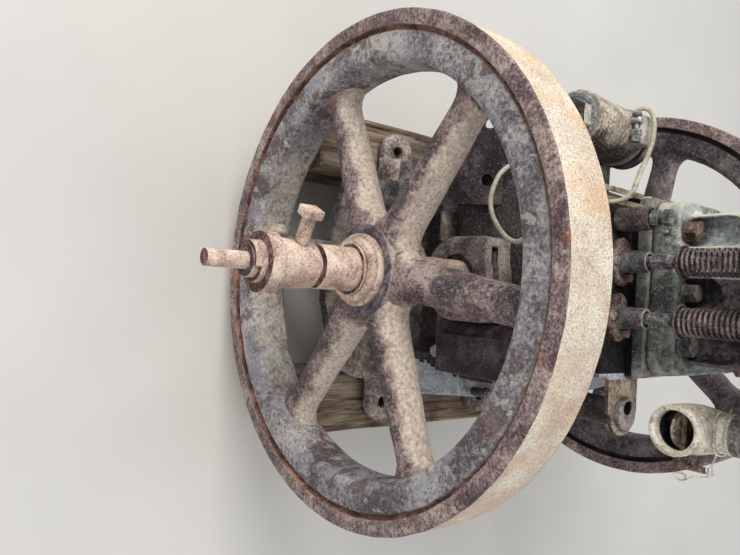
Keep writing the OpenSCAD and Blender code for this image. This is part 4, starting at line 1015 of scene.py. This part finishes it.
makePlunger(plunger)
makeTube(tube)
print("valve gear made")

# inlet elbow: round lip with a groove behind it, body that bends straight up
elbow = {
    "x": 148, "mouthY": -139, "bendY": -94, "z": 634, "neck": 44, "bend": 27, "steps": 18, "sides": 72,
    "lip": 27, "lipLong": 13, "body": 26, "belly": 1.4, "neckRadius": 22.2, "throat": 21, "top": 19.6,
    "throatTop": 15.5,
}


def makeElbow(look):
    x, z, mouth, bendY, bend = (look[k] for k in ("x", "z", "mouthY", "bendY", "bend"))
    lip, body, throat, rim, narrow = (look[k] for k in ("lip", "body", "throat", "top", "throatTop"))
    steps, sides = look["steps"], look["sides"]
    lipEnd, straight, top = mouth + look["lipLong"], bendY - bend, z + look["neck"]
    ahead, up, side = Vector((0, 1, 0)), Vector((0, 0, 1)), Vector((1, 0, 0))

    def bent(k, r):
        a = math.pi / 2 * k / steps
        return straight + bend * math.sin(a), z + bend * (1 - math.cos(a)), r, Vector((0, math.cos(a), math.sin(a)))

    outer = [(y, z, r, ahead) for r, y in arc(lip - 2.4, mouth + 2.4, 2.4, -90, 0, 5)]
    outer += [(lipEnd + y, z, lip - r, ahead)
              for y, r in ((-2.5, 0), (-1, 0.5), (0, 2), (1, 3.4), (2.6, 3.6), (4, 2.4))]
    outer += [bent(k, body + look["belly"] * math.sin(math.pi * k / steps)
                   + (look["neckRadius"] - body) * (k / steps) ** 2) for k in range(1, steps + 1)]
    outer += [(bendY, top - down, rim + out, up) for down, out in (
        (11, 1.2), (6, 0.3), (4.6, 0), (3.8, 1.2), (2.6, 1.8), (1.2, 1.6), (0.2, 0.6))]
    inner = [(bendY, top - down, narrow, up) for down in (0.2, 8)]
    inner += [bent(k, throat - (throat - narrow) * (k / steps) ** 2 * 0.8) for k in range(steps, -1, -1)]
    inner += [(lipEnd, z, throat, ahead)]
    inner += [(mouth + y, z, throat + r, ahead) for y, r in ((3, 0), (1.2, 0.4), (0.2, 1.4))]
    rings = []
    for y, height, r, way in outer + inner:
        other = way.cross(side)
        rings.append([(Vector((x, y, height)) + (side * c + other * s) * r) * mm for c, s in circle(sides)])
    points, faces, _ = lofted(rings, closed=True)
    # the inside of the throat takes painted shade, near black
    zones = [1 if len(outer) < f // sides < len(rings) - 4 else 0 for f in range(len(faces))]
    boss = moved(pipe(9 * mm, 4.2 * mm, 15 * mm, 1.5 * mm, 36), (x * mm + 21 * mm, -115 * mm, z * mm), along(side))
    dressed("intake_elbow", "elbow_casting", joined((points, faces, zones), zoned(boss, 2)),
            ["elbowCream", "throatPaintedShade", "lobeRust"], rough=(0.0005, 70.0))
    print("elbow made")


makeElbow(elbow)

# wire tie round the elbow's collar; its loose ends stay clear of the choke lever, which swings at x 183.5 to 188.5
wireTie = {
    "wire": 1.0, "middle": (148, -94, 665), "radius": 23.6, "from": 200, "round": 310, "steps": 29,
    "ends": [(174, -108, 664), (179, -116, 665), (184, -120, 668), (188, -122, 664), (185, -124, 664),
             (180, -123, 663), (179, -121, 665), (183, -119, 669), (188, -119, 667), (191.5, -121, 660),
             (193, -123, 651), (196, -125, 645), (199, -126, 639), (196, -127, 633), (193, -127, 632),
             (191.5, -126, 638), (192.5, -125, 643), (195, -124, 642)],
}


def makeWireTie(look):
    x, y, z = look["middle"]
    stops = []
    for k in range(look["steps"] + 1):
        a = math.radians(look["from"] + look["round"] * k / look["steps"])
        stops.append((x + look["radius"] * math.cos(a), y + look["radius"] * math.sin(a), z + 0.8 * math.sin(3 * a)))
    path = smoothPath(stops + look["ends"], 3)
    addExtra("elbow_wire_tie", swept(path, look["wire"] * mm, 8), "bare_steel", "wireWhite", smooth=60)


makeWireTie(wireTie)

# magneto: plain drum with a grey band at its back, saddle with two bright lugs on a bolt, pale hexagon in front
magneto = {"place": (-200, -4, 475), "turn": -2, "long": 108, "front": 37, "back": 36, "sides": 96, "hexagon": 41.6,
           "hexagonLong": 15.6, "hexagonSides": 60}


def onMagneto(shape, turn=None):
    return moved(inPlace(shape, turn=turn), Vector(magneto["place"]) * mm, spun("Z", magneto["turn"]))


def makeMagneto(look):
    front, back, long, sides = look["front"], look["back"], look["long"], look["sides"]

    def wide(h):
        return back + (front - back) * h / long
    end = [(back * 0.5, 0.3), (back - 1.6, 0.3), (back - 1.6, 6.8)]
    band = arc(back + 1.2, 8.0, 0.9, -90, 0, 3) + arc(back + 1.2, 11.2, 0.9, 0, 90, 3)
    drum = [(back - 1.6, 13.0), (back - 1.6, 14.4)] + [(wide(h), h) for h in range(17, 96, 6)]
    drum += [(wide(97), 97), (wide(98) + 1.2, 98.4), (wide(100) + 1.3, 100), (wide(101) + 0.1, 101.4),
             (wide(103) + 0.1, 103), (wide(104) + 1.0, 104.2)]
    drum += arc(front - 1.0, long - 2.2, 2.2, 0, 90, 4) + [(front * 0.5, long)]
    points, faces, _ = turned(end + band + drum, sides)
    first, last = (len(end) - 1) * sides, (len(end) + len(band)) * sides
    body = points, faces, [1 if first <= f < last else 0 for f in range(len(faces))]
    dressed("magneto_body", "magneto_casting", onMagneto(body, along((0, -1, 0), 30)), ["magnetoMottleAndShade", "capSteel"],
            rough=(0.0006, 60.0))


def makeMagnetoCap(look):
    long, sides = look["long"], look["hexagonSides"]
    rim = turned([(22, long + 0.2), (32, long + 0.2)] + arc(31.6, long + 3.4, 1.6, 0, 90, 4)
                 + [(28, long + 5.0), (27, long + 3.8), (20, long + 3.8)], 72, closed=True)
    face = turned([(21, long + 2), (20.5, long + 4.2), (10, long + 4.4)], 60)
    # the hexagon has a flat on top, pale with dust, and a dark front
    points, faces, _ = moved(hexHead(look["hexagon"], look["hexagonLong"], sides), (0, 6, long + 4.2))
    nut = points, faces, [1 if f < sides else 2 for f in range(len(faces))]
    turn = along((0, -1, 0))
    spin = math.atan2((turn @ Vector((1, 0, 0))).z, (turn @ Vector((0, 1, 0))).z)
    shape = onMagneto(joined(rim, face, nut), turn @ Matrix.Rotation(-spin, 3, "Z"))
    dressed("magneto_cap", "magneto_cap_turned", shape, ["capSteel", "capPale", "oilyIronAndShade"], rough=(0.0002, 90.0))


def makeClampBolt():
    lugs = joined(*[roundedBox((low, -42, 34), (high, -33, 49), 1.8) for low, high in ((-13.5, -6), (1.5, 10))])
    addExtra("clamp_lugs", onMagneto(lugs), "bare_steel", "nickel", rough=(0.0002, 200.0))
    parts = ((rod(2.6, 38, 0.5, 24), -20), (hexHead(11, 7.5), 10.4), (rod(6.2, 4.5, 1.6, 28), -19.5))
    bolt = joined(*[moved(part, (x, -38, 42.5), along((1, 0, 0))) for part, x in parts])
    addExtra("clamp_bolt", onMagneto(bolt), "bare_steel", "capSteel")


makeMagneto(magneto)
makeMagnetoCap(magneto)
makeClampBolt()
print("magneto made")

# post beside the cylinder: a tube with a collar round its top and a hole a little off its middle; inside the hole is
# painted shade, near black, and the tube's left side below the collar is darker iron as painted shade
post = {
    "place": (146, -103, 558), "hole": (-7, 2),
    "tube": [(0, 0, 15.2, -84), (0, 0, 16, -83), *((0, 0, 16, h, 0.15) for h in range(-78, -8, 7)),
             (0, 0, 16, -5), (0, 0, 15.2, -3.6)],
    "collar": [(0.4, -0.5, 15.4, -2.0), (0.4, -0.5, 17.6, -1.8), (0.4, -0.5, 18.5, -0.6), (0.4, -0.5, 18.5, 3.4),
               (0.4, -0.5, 17.6, 4.8), (0.2, -0.3, 15.4, 5.0), (-3, 1, 11.8, 4.2), (-6.6, 1.8, 8.2, 3.6)],
    "inside": [(-7, 2, 7.1, 2.4), (-7, 2, 7, -12), (-7, 2, 7, -29)],
}


def makePost(look):
    def ring(x, y, radius, height, wave=0.0):
        return [(x + (radius + wave * math.sin(9 * a + height)) * math.cos(a), y + radius * math.sin(a), height)
                for a in (2 * math.pi * k / 64 for k in range(64))]
    points, faces, zones = lofted([ring(*section) for section in look["tube"] + look["collar"] + look["inside"]])
    for f, face in enumerate(faces):
        centre = sum((Vector(points[k]) for k in face), Vector()) / len(face)
        off = (centre - Vector((*look["hole"], centre.z))).length
        inner = off < 8.6 and -29.5 < centre.z < 3.3 and len(face) < 9
        # inside the hole: painted shade; left side below the collar: darker iron as painted shade
        zones[f] = 2 if inner else 1 if centre.z > -3 else 3 if centre.x < -5 else 0
    dressed("side_post", "side_post_tube", inPlace((points, faces, zones), look["place"]),
            ["postIron", "plateGrey", "paintedShadeBlack", "oilyIronAndShade"], rough=(0.0006, 80.0))


makePost(post)

# block behind the post, ledge under the bearing, stud on the flank, finger beside the plunger, slats by the cam box
block = moved(inPlace(roundedBox((-9, -6, 0), (9, 6, 15), 1.6)), (0.134, -0.072, 0.472), Matrix.Rotation(0.2, 3, "Z"))
addExtra("post_block", block, "dusty_iron", "paleIron", rough=(0.0004, 90.0))
slats = (((-115.2, 527.6), (-101.5, 568.9)), ((-101.4, 530.3), (-88.4, 572.5)))
for k, (foot, top) in enumerate(slats):
    lean = math.atan2(top[0] - foot[0], top[1] - foot[1])
    slat = roundedBox((-3.2, -0.9, -14), (3.2, 0.9, math.dist(foot, top)), 0.5)
    slat = inPlace(slat, (foot[0], -108 + k, foot[1]), Matrix.Rotation(lean, 3, "Y"))
    addExtra("leaning_slat_" + str(k + 1), slat, "dusty_iron", "stripBuff", rough=(0.0003, 60.0))
ledge = joined(roundedBox((-97, -136, 274), (-54, -103, 277.4), 1.0),
               roundedBox((-94, -112, 256), (-88, -103, 275), 1.2))
addExtra("case_ledge", inPlace(ledge), "dark_iron", "shelfIron", rough=(0.0005, 60.0))
stud = joined(rod(6, 32, 1.2), moved(rod(8, 7, 1.2), (0, 0, 22)))
addExtra("flank_stud", inPlace(stud, (155, -107, 330)), "dark_iron", "oilyIronAndShade", rough=(0.0004, 80.0))
finger = smoothPath([(-62, -99, 596), (-61, -108, 599), (-60, -118, 601.5), (-59, -127, 602), (-57, -132, 601)], 4)
addExtra("plunger_finger", swept(finger, lambda t: (2.6 - 1.2 * t) * mm), "dusty_iron", "paleIron", smooth=60)

# timber bearers: sawn balks with grain, drying cracks, rounded arrises and two drilled holes
timber = {"grain": 0.7, "wave": 1.3, "edge": 6, "cracks": 9, "facet": 2.6, "steps": 110, "holeY": 0.114, "hole": 9.5}
timberLooks = {
    "timberSide": dict(oil=0.7, stretch=(1, 0.05, 1), at=(0.0, 0.3, 0.65, 1.0),
                       base=[(26, 21, 18), (44, 37, 31), (58, 51, 44), (70, 64, 56)]),
    "timberEnd": dict(oil=0.5, stretch=(1, 1, 1), at=(0.0, 0.4, 0.8, 1.0), rings=(34, 28, 23),
                      base=[(30, 24, 20), (48, 41, 34), (60, 53, 45), (68, 61, 53)]),
}


def timberMaterial(name, base, at, oil, stretch, rings=None):
    s = Shader(name, Roughness=0.88, Metallic=0.0)
    grain = s.cloud(150, 6, 0.6, 0.4, stretch)
    fibres = s.cloud(520, 4, 0.65, 0.0, stretch)
    broad = s.cloud(12, 4, 0.55, 0.6, (1, 0.3, 1))
    mottle = s.plus(s.times(grain, 0.45), s.plus(s.times(fibres, 0.25), s.times(broad, 0.3)))
    colour = s.ramp(s.between(mottle, 0.36, 0.64), at, base)
    if rings:  # year rings of the end grain
        year = s.add("TexWave", {"Vector": s.where, "Scale": 26, "Distortion": 3.5, "Detail": 4}, "Fac",
                     wave_type="RINGS", rings_direction="Y")
        colour = s.blend(s.times(year, 0.45), colour, shown(*rings))
    soaked = s.between(s.cloud(7, 5, 0.6, 0.5, shift=6), 0.50, 0.66)
    colour = s.blend(s.times(soaked, oil), colour, shown(17, 14, 13))
    height = s.plus(s.times(grain, 1.0), s.times(fibres, 0.5))
    return s.close(colour, height, 0.6, 0.0016, 0.2)


def balkOutline(halfX, halfZ, look):
    edge, corners, outline = look["edge"], [], []
    for cx, cz, start in ((halfX, halfZ, 0), (-halfX, halfZ, 90), (-halfX, -halfZ, 180), (halfX, -halfZ, 270)):
        corners += arc(cx - math.copysign(edge, cx), cz - math.copysign(edge, cz), edge, start, start + 90, 5)
    for a, b in zip(corners, corners[1:] + corners[:1]):
        parts = max(1, int(math.dist(a, b) / look["facet"]))
        outline += [(a[0] + (b[0] - a[0]) * k / parts, a[1] + (b[1] - a[1]) * k / parts) for k in range(parts)]
    return outline


def cutHoles(obj, places, radius, low, high):  # round holes straight down through a piece
    cutter = bpy.data.meshes.new("cutter")
    points, faces, _ = joined(*[moved(rod(radius, high - low), (x, y, low)) for x, y in places])
    cutter.from_pydata([tuple(p) for p in points], [], faces)
    tool = linked("cutter", cutter)
    modified(obj, "BOOLEAN", operation="DIFFERENCE", object=tool)
    applied(obj).set_sharp_from_angle(angle=math.radians(38))
    bpy.data.objects.remove(tool)
    bpy.data.meshes.remove(cutter)


def makeBearer(side, look, seed):
    low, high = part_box(side + "_bearer")
    centre = (low + high) / 2
    halfX, halfZ, long = (high.x - low.x) / 2 / mm, (high.z - low.z) / 2 / mm, (high.y - low.y) / mm
    draw = random.Random(seed)
    ring = balkOutline(halfX, halfZ, look)
    size, steps = len(ring), look["steps"]
    cracks = []
    for k in range(look["cracks"]):
        start = draw.choice((-1, 1))
        reach = draw.uniform(0.25, 0.75) * long
        middle = start * (long / 2 - reach * draw.uniform(0.3, 0.55))
        cracks.append((draw.randrange(size), middle, reach / 2, draw.uniform(1.6, 4.5), draw.uniform(-0.02, 0.02)))

    def push(i, x, y, z):  # how far the surface stands out, or lies in, at one point
        fibre = noise.noise(Vector((x * 0.16, y * 0.006, z * 0.16)) + Vector((seed, 0, seed)))
        away = -abs(fibre) * look["grain"] * 1.6
        away += noise.noise(Vector((x * 0.012, y * 0.010, z * 0.012 + seed))) * look["wave"] - look["wave"] * 0.5
        for at, middle, reach, deep, drift in cracks:
            lengthwise = abs(y - middle) / reach
            if lengthwise < 1:
                wander = at + drift * (y - middle) + 0.9 * noise.noise(Vector((y * 0.03, at, seed)))
                near = abs((i - wander + size / 2) % size - size / 2)
                away -= deep * max(0.0, 1 - near) * (1 - lengthwise ** 2)
        end = max(0.0, 1 - (long / 2 - abs(y)) / 5)
        return away - 3.0 * (1 - math.sqrt(max(0.0, 1 - end ** 2)))

    rings = []
    for y in (-long / 2 + long * s / steps for s in range(steps + 1)):
        points = []
        for i, (x, z) in enumerate(ring):
            outX, outZ = (round(v) if abs(v) > 0.9 else 0 for v in (x / halfX, z / halfZ))
            away = push(i, x, y, z)
            points.append(Vector((x + outX * away, y, z + outZ * away)) * mm + centre)
        rings.append(points)
    points, faces, zones = lofted(rings, capStart=False, capEnd=False)
    for first, rim in ((0, rings[0]), (steps * size, rings[-1])):  # end grain: nested rings close each end
        before = range(first, first + size)
        middle = sum(rim, Vector()) / size
        for k in (0.86, 0.66, 0.44, 0.22):
            now = range(len(points), len(points) + size)
            points += [middle + (p - middle) * k + Vector((0, 0.4 * mm * noise.noise(p * 300), 0)) for p in rim]
            faces += [(before[i], before[(i + 1) % size], now[(i + 1) % size], now[i]) for i in range(size)]
            before = now
        faces.append(tuple(before))
        zones += [1] * (4 * size + 1)
    piece = dressed(side + "_bearer", side + "_timber", (points, faces, zones), list(timberLooks))
    cutHoles(piece, [(centre.x, s * look["holeY"]) for s in (-1, 1)], look["hole"] * mm, low.z - 0.02, high.z + 0.02)


for name, look in timberLooks.items():
    materials[name] = timberMaterial(name, **look)
makeBearer("left", timber, 3)
makeBearer("right", timber, 8)
print("timbers made")

# fasteners point up; each entry is place in mm, size across flats, head height, washer radius and finish
fasteners = [
    ("flange_bolt", (-63, -85, 612), 22, 13, 13, "crustyBolt"),
    ("flange_bolt", (4, -84, 612), 19, 14, 11, "oilyIronAndShade"),
    ("flange_bolt", (62, -85, 612), 22, 13, 13, "oilyIronAndShade"),
    ("flange_bolt", (-89, 60, 612), 22, 12, 13, "crustyBolt"),
    ("flange_bolt", (89, 60, 612), 22, 12, 13, "crustyBolt"),
]
for side in (-1, 1):
    fasteners += [("head_nut", (side * x, y, 872), 24, 16, 0, "crustyBolt")
                  for x, y in ((66, -76), (66, 76), (72, 0))]


def addFasteners(entries):
    turns = random.Random(5)
    up = Vector((0, 0, 1))
    for k, (name, place, across, head, washer, mat) in enumerate(entries):
        shape, lift = hexHead(across * mm, head * mm), 0
        if washer:
            lift = 2.4 * mm
            shape = joined(rod(washer * mm, lift, 0.0006, 28), moved(shape, (0, 0, lift)))
        if name.endswith("nut"):
            shape = joined(shape, threadEnd(across * 0.29 * mm, head * mm + lift, head * 0.4 * mm))
        shape = moved(shape, Vector(place) * mm - up * 0.6 * mm, along(up, turns.uniform(0, 60)))
        addExtra(name + "_" + str(k + 1), shape, "rusty_iron", mat, rough=(0.0004, 120.0))


addFasteners(fasteners)
print("fasteners made:", len(fasteners))

# stage, light
studio = {
    "floor": 14, "tones": [(84, 83, 81), (87, 86, 84)], "sky": (0.96, 0.98, 1.0, 1), "skyStrength": 0.60,
    "lampColour": (1.0, 0.985, 0.96),
    "lamps": {"keyLamp": ((-2.1, -1.2, 2.5), (0, -0.1, 0.4), 1.8, 78),
              "fillLamp": ((2.2, 0.6, 2.2), (0, 0, 0.4), 2.2, 14)},
}


def makeStage(look):
    s = Shader("paleFloor", Roughness=0.9, Metallic=0.0)
    s.feed(s.bsdf, {"Base Color": s.ramp(s.cloud(3, 3, 0.5), (0.3, 0.7), look["tones"])})
    mesh = bpy.data.meshes.new("floor")
    size = look["floor"]
    mesh.from_pydata([(-size, -size, 0), (size, -size, 0), (size, size, 0), (-size, size, 0)], [], [(0, 1, 2, 3)])
    mesh.materials.append(s.mat)
    linked("floor", mesh)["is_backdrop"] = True
    world = bpy.data.worlds.new("studio")
    bpy.context.scene.world = world
    world.use_nodes = True
    s.feed(world.node_tree.nodes["Background"], {"Color": look["sky"], "Strength": look["skyStrength"]})
    for name, (place, aim, size, power) in look["lamps"].items():
        lamp = bpy.data.lights.new(name, "AREA")
        lamp.energy = power
        lamp.size = size
        lamp.color = look["lampColour"]
        aimed(linked(name, lamp), place, aim)
    bpy.context.scene.view_settings.view_transform = "Standard"


makeStage(studio)

size = {"cad": [list(cadLow), list(cadHigh)]}
low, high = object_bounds()
size["visual"] = [list(low), list(high)]
